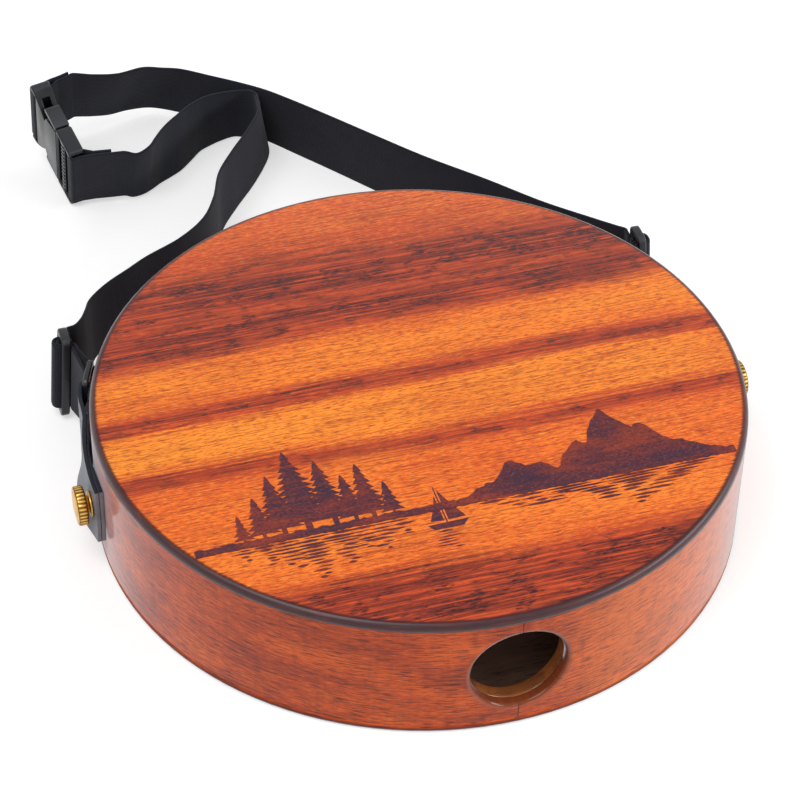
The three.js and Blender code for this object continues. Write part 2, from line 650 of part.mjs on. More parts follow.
// One squeeze prong: a full-depth grip outside, a thin barbed arm inside
function prongBody(side) {
  const gripHalf = buckle.mouthThickness / 2 - prong.faceInset;
  const armHalf = cavityHalf - seat;
  const tipX = prongRootX - prong.gripLength;
  const grip = new THREE.Shape();
  grip.moveTo(prongRootX, gripInner);
  grip.lineTo(prongRootX, halfWidth);
  grip.lineTo(tipX + prong.tipRound, halfWidth);
  grip.absarc(tipX + prong.tipRound, halfWidth - prong.tipRound, prong.tipRound, Math.PI / 2, Math.PI, false);
  grip.lineTo(tipX, gripInner);
  grip.closePath();
  const armTip = prongRootX - prong.armLength;
  const armOuter = prong.armInset + prong.armWidth;
  const barbOuter = postInner + catchPost.width - 2 * seat;
  const arm = new THREE.Shape();
  arm.moveTo(prongRootX, prong.armInset);
  arm.lineTo(prongRootX, gripInner + seat);
  arm.lineTo(prongRootX - prong.root, gripInner + seat);
  arm.lineTo(prongRootX - prong.root - prong.armWidth, armOuter);
  arm.lineTo(armTip + prong.barb, armOuter);
  arm.lineTo(armTip + prong.barb, barbOuter);
  arm.lineTo(armTip + prong.barb / 2, barbOuter);
  arm.lineTo(armTip, armOuter);
  arm.lineTo(armTip, prong.armInset);
  arm.closePath();
  const whole = join(raise(grip, -gripHalf, gripHalf, buckle.edge / 2), raise(arm, -armHalf, armHalf));
  return whole.scale(1, side, 1);
}

// Webbing sewn round a buckle's end bar; both legs leave towards the drum side of the buckle
const legApart = (webbing.thickness + loopLegs.spread) / 2;
const femaleEnd = { barStart: 0, barEnd: buckleSlot.endBar, barHalf: buckle.endThickness / 2 - shell.thickness,
  legShare: femaleLegShare, shift: loopLegs.femaleShift };
const maleEnd = { barStart: buckleLength - maleFrame.endBar, barEnd: buckleLength,
  barHalf: maleFrame.endBarThickness / 2, legShare: maleLegShare, shift: loopLegs.maleShift };

// Middle of the two legs, at a depth behind the buckle's middle plane
function legMiddle(end, depth) {
  return end.barStart + (end.barEnd - end.barStart) * end.legShare + end.shift * depth / loopLegs.tail;
}

function endLoop(end) {
  const tight = loopLegs.tight + end.barHalf;
  const route = new THREE.Path();
  route.moveTo(legMiddle(end, loopLegs.tail) - legApart, -loopLegs.tail);
  route.lineTo(legMiddle(end, tight) - legApart, -tight);
  route.lineTo(end.barStart - sheath, -end.barHalf);
  route.absarc(end.barStart, end.barHalf, sheath, Math.PI, Math.PI / 2, true);
  route.absarc(end.barEnd, end.barHalf, sheath, Math.PI / 2, 0, true);
  route.lineTo(end.barEnd + sheath, -end.barHalf);
  route.lineTo(legMiddle(end, tight) + legApart, -tight);
  route.lineTo(legMiddle(end, loopLegs.tail) + legApart, -loopLegs.tail);
  return acrossStrap(raise(stripOutline(route.getPoints(cornerSteps + 1), webbing.thickness),
    -webbing.width / 2, webbing.width / 2));
}

// The buckle's place: yaw about +Z, then pitch and roll in its own frame
const buckleGroup = new THREE.Group();
{
  const yaw = THREE.MathUtils.degToRad(buckleYawDegrees);
  const pitch = THREE.MathUtils.degToRad(bucklePitchDegrees);
  const roll = THREE.MathUtils.degToRad(buckleRollDegrees);
  const level = new THREE.Vector3(Math.sin(yaw), -Math.cos(yaw), 0);
  const up = new THREE.Vector3(0, 0, 1);
  const out = new THREE.Vector3(-Math.cos(yaw), -Math.sin(yaw), 0);
  const along = level.clone().multiplyScalar(Math.cos(pitch)).addScaledVector(up, -Math.sin(pitch));
  const rise = level.clone().multiplyScalar(Math.sin(pitch)).addScaledVector(up, Math.cos(pitch));
  const across = rise.clone().multiplyScalar(Math.cos(roll)).addScaledVector(out, Math.sin(roll));
  const face = out.clone().multiplyScalar(Math.cos(roll)).addScaledVector(rise, -Math.sin(roll));
  const basis = new THREE.Matrix4().makeBasis(along, across, face);
  buckleGroup.quaternion.setFromRotationMatrix(basis);
  const corner = new THREE.Vector3(buckleLength, -halfWidth, buckle.mouthThickness / 2).applyMatrix4(basis);
  buckleGroup.position.set(buckleCornerShares[0] * drum.radius, buckleCornerShares[1] * drum.radius,
    buckleLift).sub(corner);
  buckleGroup.updateMatrix();
}

// Free strap: a ribbon between a lower and an upper edge line

function ribbon(stations, steps) {
  const edge = (key) => new THREE.CatmullRomCurve3(stations.map((s) => s[key]), false, 'centripetal');
  const upperLine = edge('high');
  const lowLine = edge('low');
  const positions = [];
  const index = [];
  for (let i = 0; i <= steps; i += 1) {
    const share = i / steps;
    const a = lowLine.getPoint(share);
    const b = upperLine.getPoint(share);
    const along = lowLine.getTangent(share).add(upperLine.getTangent(share)).normalize();
    const across = new THREE.Vector3().subVectors(b, a).normalize();
    const side = new THREE.Vector3().crossVectors(along, across).normalize()
      .multiplyScalar(webbing.thickness / 2);
    for (const corner of [a.clone().sub(side), a.clone().add(side), b.clone().add(side), b.clone().sub(side)]) {
      positions.push(corner.x, corner.y, corner.z);
    }
  }
  for (let i = 0; i < steps; i += 1) {
    for (let k = 0; k < 4; k += 1) {
      const [a, b] = [i * 4 + k, i * 4 + (k + 1) % 4];
      index.push(a, b, a + 4, b, b + 4, a + 4);
    }
  }
  const last = steps * 4;
  index.push(0, 2, 1, 0, 3, 2, last, last + 1, last + 2, last, last + 2, last + 3);
  const geometry = new THREE.BufferGeometry();
  geometry.setAttribute('position', new THREE.Float32BufferAttribute(positions, 3));
  geometry.setIndex(index);
  return geometry;
}

function stationFrom([x, y, lift, leanX, leanY]) {
  const low = new THREE.Vector3(x, y, lift).multiplyScalar(drum.radius);
  const sideways = new THREE.Vector3(leanX, leanY, 0).multiplyScalar(drum.radius);
  const rise = Math.sqrt(webbing.width ** 2 - sideways.lengthSq());
  return { low, high: low.clone().add(sideways).setZ(low.z + rise) };
}

function stationAtBuckle(end, setback) {
  const depth = loopLegs.tail + setback;
  const x = legMiddle(end, depth) + legApart;
  const corner = (y) => new THREE.Vector3(x, y, -depth).applyMatrix4(buckleGroup.matrix);
  return { low: corner(-webbing.width / 2), high: corner(webbing.width / 2) };
}

function stationAtSlider(side, setback) {
  const at = (z) => new THREE.Vector3(side * (webbingEnd.x + sliderLeanShare * (webbingMiddle - z)),
    webbingEnd.y + setback, z);
  return { low: at(webbingLow), high: at(webbingHigh) };
}

function strap(end, routeShares, side, steps) {
  return ribbon([stationAtBuckle(end, seat), stationAtBuckle(end, strapLead.buckle),
    ...routeShares.map(stationFrom), stationAtSlider(side, strapLead.slider),
    stationAtSlider(side, seat)], steps);
}

// Assembly

const group = new THREE.Group();

function piece(name, geometry, material, parent = group) {
  const mesh = new THREE.Mesh(closed(geometry), material);
  mesh.name = name;
  parent.add(mesh);
}

piece('drum_hoop', hoop(), lacqueredSide());
piece('top_plate', topPlate(), lacqueredTop());
piece('back_plate', backPlate(), rawWood());
piece('lower_lining', liningRing(chamberLow), rawWood());
piece('upper_lining', liningRing(chamberHigh - lining.height), rawWood());
piece('splice_block', spliceBlock(), rawWood());
piece('snare_bar', snareBarBody(), rawWood());
piece('snare_coil_1', snareCoilBody(-1), steel());
piece('snare_coil_2', snareCoilBody(1), steel());

for (const [label, side] of [['left', -1], ['right', 1]]) {
  const mirrored = (geometry) => geometry.scale(side, 1, 1);
  piece(`screw_block_${label}`, mirrored(screwBlockBody()), rawWood());
  piece(`threaded_insert_${label}`, mirrored(threadedInsert()), brass());
  piece(`thumbscrew_${label}`, mirrored(thumbscrew()), brass());
  piece(`washer_${label}`, mirrored(washerBody()), brass());
  piece(`leather_tab_${label}`, mirrored(leatherTab()), hide());
  piece(`ring_${label}`, mirrored(ringBody()), blackPlastic());
  piece(`webbing_${label}`, mirrored(webbingLoop()), blackWebbing());
  piece(`slider_${label}`, mirrored(sliderBody()), blackPlastic());
}

group.add(buckleGroup);
piece('buckle_female', buckleFemale(), blackPlastic(), buckleGroup);
piece('buckle_male', buckleMale(), blackPlastic(), buckleGroup);
piece('prong_upper', prongBody(1), blackPlastic(), buckleGroup);
piece('prong_lower', prongBody(-1), blackPlastic(), buckleGroup);
piece('strap_loop_female', endLoop(femaleEnd), blackWebbing(), buckleGroup);
piece('strap_loop_male', endLoop(maleEnd), blackWebbing(), buckleGroup);
piece('strap_back', strap(femaleEnd, backRouteShares, 1, ribbonSteps.back), blackWebbing());
piece('strap_front', strap(maleEnd, frontRouteShares, -1, ribbonSteps.front), blackWebbing());

export default group;
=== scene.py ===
"""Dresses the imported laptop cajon: wood, lacquer, leather, webbing, moulded plastic and brass."""

import json
import math
import random

import bmesh
import bpy
import numpy as np
from mathutils import Matrix, Vector

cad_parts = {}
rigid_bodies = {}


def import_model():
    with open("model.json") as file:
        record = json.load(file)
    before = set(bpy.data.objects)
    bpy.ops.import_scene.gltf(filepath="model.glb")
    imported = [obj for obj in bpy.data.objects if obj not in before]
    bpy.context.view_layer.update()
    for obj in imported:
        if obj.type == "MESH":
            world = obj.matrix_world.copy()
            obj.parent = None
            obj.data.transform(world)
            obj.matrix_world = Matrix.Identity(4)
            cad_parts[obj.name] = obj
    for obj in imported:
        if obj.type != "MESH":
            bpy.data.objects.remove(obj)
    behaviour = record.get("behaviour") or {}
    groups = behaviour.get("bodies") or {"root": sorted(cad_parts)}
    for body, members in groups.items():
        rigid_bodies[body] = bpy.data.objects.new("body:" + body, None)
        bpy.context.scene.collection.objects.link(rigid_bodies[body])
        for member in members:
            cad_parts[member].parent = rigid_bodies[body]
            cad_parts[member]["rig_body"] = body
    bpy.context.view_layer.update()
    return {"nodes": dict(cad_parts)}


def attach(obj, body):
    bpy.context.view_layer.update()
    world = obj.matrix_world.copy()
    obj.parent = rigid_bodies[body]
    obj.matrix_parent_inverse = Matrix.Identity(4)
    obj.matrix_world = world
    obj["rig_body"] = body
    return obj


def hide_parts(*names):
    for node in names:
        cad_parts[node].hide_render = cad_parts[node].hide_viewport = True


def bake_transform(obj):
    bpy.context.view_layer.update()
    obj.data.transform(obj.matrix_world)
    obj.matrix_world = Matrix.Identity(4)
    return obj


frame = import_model()
NODES = frame["nodes"]
MM = 0.001

# Sizes repeated from the part's source, in millimetres
RADIUS = 150.0
HEIGHT = 66.0
SCREW_HEIGHT = HEIGHT / 2
WEBBING_WIDTH = 38.0
WEBBING_THICKNESS = 1.5
SEAT = 0.3
SHEATH = SEAT + WEBBING_THICKNESS / 2
LEATHER = {"thickness": 1.8, "stand_off": 1.9, "reach": 64.5}
RING = {"wire": 3.0, "length": 15.0, "turn": math.radians(20.7)}
HEAD_RADIUS = 9.2


def clamp(value):
    return min(max(value, 0), 1)


def smoothstep(value):
    return value * value * (3 - 2 * value)


# Share of the way over the plate, from the sound hole's side, and the stain's colour there
TOP_BANDS = [
    (0.0, (150, 62, 38)), (0.03, (128, 46, 30)), (0.07, (104, 36, 28)), (0.115, (124, 44, 28)),
    (0.135, (204, 84, 34)), (0.155, (240, 116, 38)), (0.21, (246, 126, 40)),
    (0.27, (238, 112, 34)), (0.33, (240, 112, 34)), (0.37, (232, 104, 34)),
    (0.385, (186, 68, 28)), (0.4, (150, 46, 26)), (0.412, (214, 90, 32)),
    (0.428, (252, 140, 40)), (0.465, (255, 148, 42)), (0.5, (250, 136, 38)),
    (0.513, (200, 74, 30)), (0.53, (146, 44, 26)), (0.545, (206, 80, 30)), (0.562, (250, 130, 36)),
    (0.61, (253, 138, 38)), (0.645, (240, 116, 34)), (0.665, (184, 68, 30)), (0.69, (112, 36, 26)),
    (0.72, (124, 40, 28)), (0.742, (180, 66, 32)), (0.765, (112, 36, 26)), (0.79, (74, 26, 26)),
    (0.82, (132, 44, 28)), (0.865, (206, 82, 34)), (0.93, (226, 100, 40)), (1.0, (238, 116, 54))]

# ---------------------------------------------------------------- materials


class Graph:
    """Short calls for building one material's nodes."""

    def __init__(self, name):
        self.material = bpy.data.materials.new(name)
        self.material.use_nodes = True
        self.tree = self.material.node_tree
        self.shader = self.tree.nodes["Principled BSDF"]
        self.coords = self.tree.nodes.new("ShaderNodeTexCoord")

    def node(self, kind, **values):
        made = self.tree.nodes.new(kind)
        for key, value in values.items():
            setattr(made, key, value)
        return made

    def link(self, source, target):
        self.tree.links.new(source, target)

    def feed(self, socket, value):
        if isinstance(value, bpy.types.NodeSocket):
            self.link(value, socket)
        else:
            socket.default_value = value

    def math(self, operation, a, b=0.0):
        made = self.node("ShaderNodeMath", operation=operation)
        self.feed(made.inputs[0], a)
        self.feed(made.inputs[1], b)
        return made.outputs[0]

    def plus(self, a, b):
        return self.math("ADD", a, b)

    def minus(self, a, b):
        return self.math("SUBTRACT", a, b)

    def times(self, a, b):
        return self.math("MULTIPLY", a, b)

    def hypot(self, a, b):
        return self.math("SQRT", self.plus(self.times(a, a), self.times(b, b)))

    def parts(self, source=None):
        """The X, Y and Z of a vector, or of the place on the piece."""
        made = self.node("ShaderNodeSeparateXYZ")
        self.link(source or self.coords.outputs["Object"], made.inputs[0])
        return made.outputs

    def joined(self, x, y):
        made = self.node("ShaderNodeCombineXYZ")
        self.link(x, made.inputs["X"])
        self.link(y, made.inputs["Y"])
        return made.outputs[0]

    def scaled(self, scale, along=None):
        made = self.node("ShaderNodeMapping")
        self.link(along or self.coords.outputs["Object"], made.inputs["Vector"])
        made.inputs["Scale"].default_value = scale
        return made.outputs[0]

    def noise(self, scale, detail=3.0, rough=0.5, along=None):
        """Noise with so many features per metre along each axis."""
        made = self.node("ShaderNodeTexNoise")
        self.link(self.scaled(scale, along), made.inputs["Vector"])
        made.inputs["Scale"].default_value = 1.0
        made.inputs["Detail"].default_value = detail
        made.inputs["Roughness"].default_value = rough
        return made.outputs["Fac"]

    def wave(self, vector, scale, distort, direction):
        made = self.node("ShaderNodeTexWave", wave_type="BANDS", bands_direction=direction,
                         wave_profile="SIN")
        self.link(vector, made.inputs["Vector"])
        made.inputs["Scale"].default_value = scale
        made.inputs["Distortion"].default_value = distort
        return made.outputs["Fac"]

    def span(self, value, low, high, to_low=0.0, to_high=1.0, kind="LINEAR"):
        made = self.node("ShaderNodeMapRange", interpolation_type=kind)
        self.feed(made.inputs["Value"], value)
        made.inputs["From Min"].default_value = low
        made.inputs["From Max"].default_value = high
        made.inputs["To Min"].default_value = to_low
        made.inputs["To Max"].default_value = to_high
        return made.outputs["Result"]

    def soft(self, value, low, high, to_low=0.0, to_high=1.0):
        return self.span(value, low, high, to_low, to_high, "SMOOTHSTEP")

    def ramp(self, value, stops):
        """Colours at places from 0 to 1, blended between."""
        made = self.node("ShaderNodeValToRGB")
        self.link(value, made.inputs["Fac"])
        elements = made.color_ramp.elements
        while len(elements) < len(stops):
            elements.new(0.5)
        for element, (place, colour) in zip(elements, stops):
            element.position = place
            element.color = paint(colour)
        return made.outputs["Color"]

    def mix(self, share, a, b):
        made = self.node("ShaderNodeMix", data_type="RGBA")
        self.feed(made.inputs["Factor"], share)
        self.feed(made.inputs["A"], paint(a) if isinstance(a, tuple) else a)
        self.feed(made.inputs["B"], paint(b) if isinstance(b, tuple) else b)
        return made.outputs["Result"]

    def bump(self, height, distance, strength):
        made = self.node("ShaderNodeBump")
        self.link(height, made.inputs["Height"])
        made.inputs["Distance"].default_value = distance
        made.inputs["Strength"].default_value = strength
        return made.outputs["Normal"]

    def finish(self, colour, roughness, normal=None, **uniform):
        base = paint(colour) if isinstance(colour, tuple) else colour
        self.feed(self.shader.inputs["Base Color"], base)
        self.feed(self.shader.inputs["Roughness"], roughness)
        if normal is not None:
            self.link(normal, self.shader.inputs["Normal"])
        for key, value in uniform.items():
            self.shader.inputs[key.replace("_", " ")].default_value = value
        return self.material


def paint(colour):
    """An sRGB colour from 0 to 255 as the linear RGBA that a socket takes."""
    def line(c):
        c /= 255
        return c / 12.92 if c <= 0.04045 else ((c + 0.055) / 1.055) ** 2.4
    return tuple(line(c) for c in colour[:3]) + (1.0,)


def lacquered_top():
    """The playing plate: banded wood with streaks, dashes, flecks and pores, under clear gloss."""
    g = Graph("lacquered_top")
    place = g.parts()
    # Growth bands across the plate, bent a little by slow drift and frayed by long fine fibres
    slow = g.noise((5, 7, 1), 1)
    drift = g.times(g.minus(slow, 0.5), 0.022)
    fibre = g.noise((9, 620, 1), 2, 0.6)
    fray = g.times(g.minus(fibre, 0.5), 0.016)
    y = g.plus(g.plus(place["Y"], drift), fray)
    body = g.ramp(g.span(y, -RADIUS * MM, RADIUS * MM), TOP_BANDS)
    # Tone wanders along the boards
    depth = g.node("ShaderNodeRGBToBW")
    g.link(body, depth.inputs[0])
    glow = g.span(depth.outputs[0], 0.06, 0.28)
    shade = g.minus(1, g.times(glow, 0.72))
    tone = g.noise((9, 34, 1), 3, 0.55)
    body = g.mix(g.soft(tone, 0.45, 0.72, 0, 0.45), body, (206, 74, 30))
    sunlit = g.times(g.soft(tone, 0.5, 0.25, 0, 0.35), glow)
    body = g.mix(sunlit, body, (255, 158, 52))
    # Red fibres run through the dark bands
    ember = g.noise((14, 560, 1), 3, 0.65)
    embers = g.times(g.soft(ember, 0.46, 0.6, 0, 0.85), g.minus(1, glow))
    body = g.mix(embers, body, (218, 84, 36))
    # Long dark streaks, thick in the dark bands and thin in the bright ones
    streak = g.noise((30, 760, 1), 3, 0.65)
    gather = g.soft(g.noise((16, 60, 1), 3, 0.6), 0.36, 0.6, 0.2, 1)
    streaks = g.times(g.soft(streak, 0.47, 0.58), g.times(gather, shade))
    body = g.mix(g.times(streaks, 0.95), body, (46, 16, 20))
    # Smudges of short black dashes lie in the dark bands
    dash = g.noise((210, 1300, 1), 2, 0.5)
    smudge = g.soft(g.noise((85, 150, 1), 2, 0.5), 0.5, 0.62)
    dashes = g.times(g.times(g.soft(dash, 0.4, 0.56), smudge), g.span(shade, 0.45, 0.9))
    body = g.mix(g.times(dashes, 0.9), body, (34, 14, 22))
    line = g.soft(g.noise((14, 900, 1), 2, 0.5), 0.58, 0.66, 0, 0.55)
    body = g.mix(line, body, (158, 50, 22))
    # Fine reddish flecks and open pores
    fleck = g.noise((260, 1150, 1), 3, 0.65)
    body = g.mix(g.soft(fleck, 0.5, 0.64, 0, 0.66), body, (176, 56, 20))
    body = g.mix(g.times(g.soft(fleck, 0.48, 0.3, 0, 0.5), glow), body, (255, 166, 60))
    pore = g.soft(g.noise((120, 1700, 1), 2, 0.5), 0.56, 0.66, 0, 1)
    body = g.mix(g.times(pore, 0.62), body, (118, 34, 18))
    # The stain is darker at the rim, with a ragged edge
    radial = g.node("ShaderNodeVectorMath", operation="LENGTH")
    g.link(g.joined(place["X"], place["Y"]), radial.inputs[0])
    ragged = g.plus(radial.outputs["Value"], g.times(fleck, 0.0012))
    rim = g.soft(ragged, (RADIUS - 3.2) * MM, (RADIUS - 1.8) * MM)
    body = g.mix(g.times(rim, 0.9), body, (58, 20, 24))
    grain = g.plus(pore, g.times(fibre, 0.6))
    return g.finish(body, g.span(fibre, 0.3, 0.7, 0.35, 0.45), g.bump(grain, 0.0001, 0.5),
                    Specular_IOR_Level=0.02, Coat_Weight=1.0, Coat_Roughness=0.16, Coat_IOR=1.3)


def lacquered_side():
    """The hoop's wood, with its grain wrapped round the drum."""
    g = Graph("lacquered_side")
    place = g.parts()
    turn = g.math("ARCTAN2", place["Y"], place["X"])
    along = g.joined(g.times(turn, RADIUS * MM), place["Z"])
    cloud = g.noise((16, 44, 1), 4, 0.6, along)
    body = g.ramp(cloud, [(0.3, (146, 50, 16)), (0.45, (188, 68, 20)), (0.58, (212, 86, 24)),
                          (0.72, (228, 102, 30))])
    # Past the seam the boards are plainer and more yellow, and painted lighter for the light that
    # falls there from the right
    plain_and_painted_light = g.soft(place["X"], 0.004, 0.05)
    body = g.mix(g.times(plain_and_painted_light, 0.62), body, (226, 116, 46))
    # Dark smoky patches made of fine streaks
    streak = g.noise((34, 760, 1), 3, 0.6, along)
    smoke = g.soft(g.noise((20, 60, 1), 3, 0.6, along), 0.42, 0.68, 0.12, 1)
    streaks = g.times(g.soft(streak, 0.48, 0.64), smoke)
    streaks = g.times(streaks, g.minus(0.82, g.times(plain_and_painted_light, 0.42)))
    body = g.mix(streaks, body, (70, 28, 14))
    fleck = g.noise((190, 1000, 1), 3, 0.65, along)
    speckle = g.times(g.soft(fleck, 0.5, 0.64, 0, 0.66), g.minus(1, g.times(plain_and_painted_light, 0.45)))
    body = g.mix(speckle, body, (134, 48, 16))
    body = g.mix(g.soft(fleck, 0.48, 0.3, 0, 0.4), body, (244, 124, 44))
    cross = g.soft(g.noise((260, 42, 1), 2, along=along), 0.5, 0.75, 0, 0.2)
    body = g.mix(cross, body, (84, 28, 18))
    pore = g.soft(g.noise((100, 1500, 1), 2, along=along), 0.55, 0.65, 0, 1)
    body = g.mix(g.times(pore, 0.7), body, (54, 20, 14))
    # The stain is darker round the rounded rim, and the wood is darker towards the foot
    level = g.plus(place["Z"], g.times(fleck, 0.0016))
    rim = g.math("MAXIMUM", g.soft(level, (HEIGHT - 4.2) * MM, (HEIGHT - 1.8) * MM),
                 g.soft(level, 4.5 * MM, 2.0 * MM))
    body = g.mix(g.times(rim, 0.86), body, (60, 22, 26))
    # The sound hole's bore is brown, and the lip round it is painted paler than the wall, a painted
    # sheen
    level = g.minus(place["Z"], SCREW_HEIGHT * MM)
    from_axis = g.hypot(level, place["X"])
    near = g.math("LESS_THAN", place["Y"], -0.1)
    bore = g.times(g.soft(from_axis, 23.2 * MM, 22.2 * MM), near)
    body = g.mix(g.times(bore, 0.9), body, (116, 58, 34))
    painted_lip_sheen = g.times(g.times(g.soft(from_axis, 24.5 * MM, 23.5 * MM), near), 0.6)
    body = g.mix(g.times(painted_lip_sheen, g.minus(1, bore)), body, (146, 92, 70))
    return g.finish(body, g.span(cloud, 0.3, 0.7, 0.35, 0.45), g.bump(pore, 0.00008, 0.5),
                    Specular_IOR_Level=0.02, Coat_Weight=1.0, Coat_Roughness=0.14, Coat_IOR=1.3,
                    Sheen_Weight=1.0, Sheen_Roughness=0.27,
                    Sheen_Tint=(0.93, 0.93, 1.0, 1.0))


def raw_wood(name, light, dark, **gloss):
    """Unstained wood of two tones; gloss takes further shader values."""
    g = Graph(name)
    streak = g.noise((14, 150, 150), 4, 0.6)
    body = g.ramp(streak, [(0.3, dark), (0.7, light)])
    pore = g.soft(g.noise((120, 1300, 900), 2), 0.58, 0.68, 0, 0.6)
    body = g.mix(pore, body, tuple(c * 0.45 for c in dark))
    return g.finish(body, g.span(streak, 0.3, 0.7, 0.72, 0.88), g.bump(streak, 0.0003, 0.5),
                    **gloss)


def rim_lacquer():
    g = Graph("lacquered_rim")
    streak = g.noise((60, 60, 900), 3, 0.6)
    body = g.ramp(streak, [(0.3, (42, 16, 22)), (0.55, (60, 24, 30)), (0.75, (98, 42, 36))])
    fleck = g.noise((420, 420, 900), 3, 0.65)
    body = g.mix(g.soft(fleck, 0.5, 0.66, 0, 0.5), body, (38, 14, 20))
    return g.finish(body, 0.4, g.bump(fleck, 0.00006, 0.4), Specular_IOR_Level=0.1,
                    Coat_Weight=1.0, Coat_Roughness=0.36, Coat_IOR=1.38)


def burnt():
    g = Graph("burnt_engraving")
    speck = g.noise((700, 1300, 900), 3, 0.65)
    streak = g.noise((40, 420, 1), 3, 0.6)
    depth = g.noise((26, 44, 1), 3, 0.55)
    body = g.ramp(g.plus(depth, g.times(g.minus(streak, 0.5), 0.5)),
                  [(0.36, (64, 38, 54)), (0.5, (92, 42, 48)), (0.66, (132, 54, 42))])
    body = g.mix(g.soft(speck, 0.5, 0.66, 0, 0.65), body, (48, 24, 38))
    body = g.mix(g.soft(speck, 0.46, 0.32, 0, 0.4), body, (160, 78, 62))
    return g.finish(body, 0.62, g.bump(speck, 0.0002, 0.8), Specular_IOR_Level=0.2)


def brass():
    g = Graph("turned_brass")
    cloud = g.noise((260, 260, 260), 3)
    body = g.ramp(cloud, [(0.3, (196, 146, 66)), (0.7, (236, 192, 104))])
    # Painted shade darkens the knurl's grooves
    place = g.parts()
    level = g.minus(place["Z"], SCREW_HEIGHT * MM)
    reach = g.hypot(level, place["Y"])
    painted_groove_shade = g.times(g.soft(reach, (HEAD_RADIUS - 0.1) * MM, (HEAD_RADIUS - 0.35) * MM),
                     g.span(reach, (HEAD_RADIUS - 0.8) * MM, (HEAD_RADIUS - 0.6) * MM))
    body = g.mix(g.times(painted_groove_shade, 0.85), body, (84, 50, 16))
    scratch = g.noise((180, 2600, 900), 2)
    return g.finish(body, g.span(scratch, 0.3, 0.7, 0.2, 0.38), g.bump(scratch, 0.00004, 0.5),
                    Metallic=1.0)


def steel():
    g = Graph("spring_steel")
    cloud = g.noise((400, 400, 400), 3)
    body = g.ramp(cloud, [(0.3, (150, 152, 156)), (0.7, (196, 198, 202))])
    return g.finish(body, g.span(cloud, 0.3, 0.7, 0.25, 0.4), Metallic=1.0)


def hide():
    """Leather with its face painted light grey as a painted sheen, and dark cut edges, which face
    up and down.
    """
    g = Graph("black_hide")
    cells = g.node("ShaderNodeTexVoronoi", feature="DISTANCE_TO_EDGE")
    g.link(g.scaled((1100, 1100, 1100)), cells.inputs["Vector"])
    crease = g.soft(cells.outputs["Distance"], 0.0, 0.25)
    cloud = g.noise((90, 90, 90), 4, 0.6)
    # The face's light grey is a painted sheen on the dark leather
    face = g.ramp(cloud, [(0.3, (112, 113, 121)), (0.7, (138, 139, 148))])
    tilt = g.parts(g.node("ShaderNodeNewGeometry").outputs["Normal"])
    edge = g.soft(g.math("ABSOLUTE", tilt["Z"]), 0.45, 0.8)
    body = g.mix(edge, face, (12, 20, 36))
    rough = g.span(cloud, 0.3, 0.7, 0.42, 0.56)
    return g.finish(body, rough, g.bump(crease, 0.00008, 0.5), Specular_IOR_Level=0.2,
                    Coat_Weight=0.12, Coat_Roughness=0.3)


def moulded():
    g = Graph("moulded_plastic")
    spark = g.noise((1800, 1800, 1800), 2)
    cloud = g.noise((60, 60, 60), 3)
    body = g.ramp(cloud, [(0.3, (11, 12, 16)), (0.7, (17, 18, 23))])
    # Convex edges are painted pale, a painted edge highlight
    corners = g.node("ShaderNodeNewGeometry").outputs["Pointiness"]
    painted_edge_highlight = g.span(corners, 0.53, 0.62, 0, 0.6)
    body = g.mix(painted_edge_highlight, body, (128, 132, 144))
    return g.finish(body, g.span(cloud, 0.3, 0.7, 0.24, 0.34), g.bump(spark, 0.00003, 0.6),
                    Specular_IOR_Level=0.34)


def woven():
    """Ribs across the webbing and its warp along it, on the strip's own lengthwise coordinates."""
    g = Graph("woven_webbing")
    uv = g.coords.outputs["UV"]
    rib = g.wave(uv, 330, 0.4, "X")
    warp = g.wave(uv, 260, 0.6, "Y")
    slub = g.noise((300, 1100, 1), 3, 0.6, uv)
    height = g.plus(g.times(rib, warp), g.times(slub, 0.5))
    body = g.ramp(height, [(0.1, (14, 15, 24)), (0.9, (27, 28, 41))])
    dust = g.span(g.noise((30, 30, 30), 4, 0.6), 0.4, 0.75, 0, 0.1)
    body = g.mix(dust, body, (70, 72, 84))
    return g.finish(body, g.span(slub, 0.3, 0.7, 0.82, 0.95), g.bump(height, 0.00018, 0.6),
                    Sheen_Weight=0.1, Sheen_Roughness=0.5, Specular_IOR_Level=0.2)


TOP, SIDE, RIM = lacquered_top(), lacquered_side(), rim_lacquer()
INNER = raw_wood("raw_inner", (132, 100, 82), (84, 60, 50))
GOLDEN = raw_wood("lacquered_bore", (176, 100, 34), (110, 56, 20),
                  Coat_Weight=1.0, Coat_Roughness=0.16)
BARE = raw_wood("raw_strips", (158, 112, 70), (112, 74, 44))
BURNT, BRASS, STEEL = burnt(), brass(), steel()
HIDE, PLASTIC, WOVEN = hide(), moulded(), woven()


# ---------------------------------------------------------------- shapes


def show(name, mesh, material, body, *nodes):
    """One piece of the scene, on its body or on none, and what it replaces."""
    mesh.materials.clear()
    mesh.materials.append(material)
    made = bpy.data.objects.new(name, mesh)
    bpy.context.scene.collection.objects.link(made)
    if body:
        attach(made, body)
    if nodes:
        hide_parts(*nodes)
    return made


def smooth(mesh, degrees=38):
    """Smooth shading, but for edges sharper than this."""
    for face in mesh.polygons:
        face.use_smooth = True
    mesh.set_sharp_from_angle(angle=math.radians(degrees))


SAME_PLACE = 1e-6
FLAT_ANGLE = math.radians(0.6)


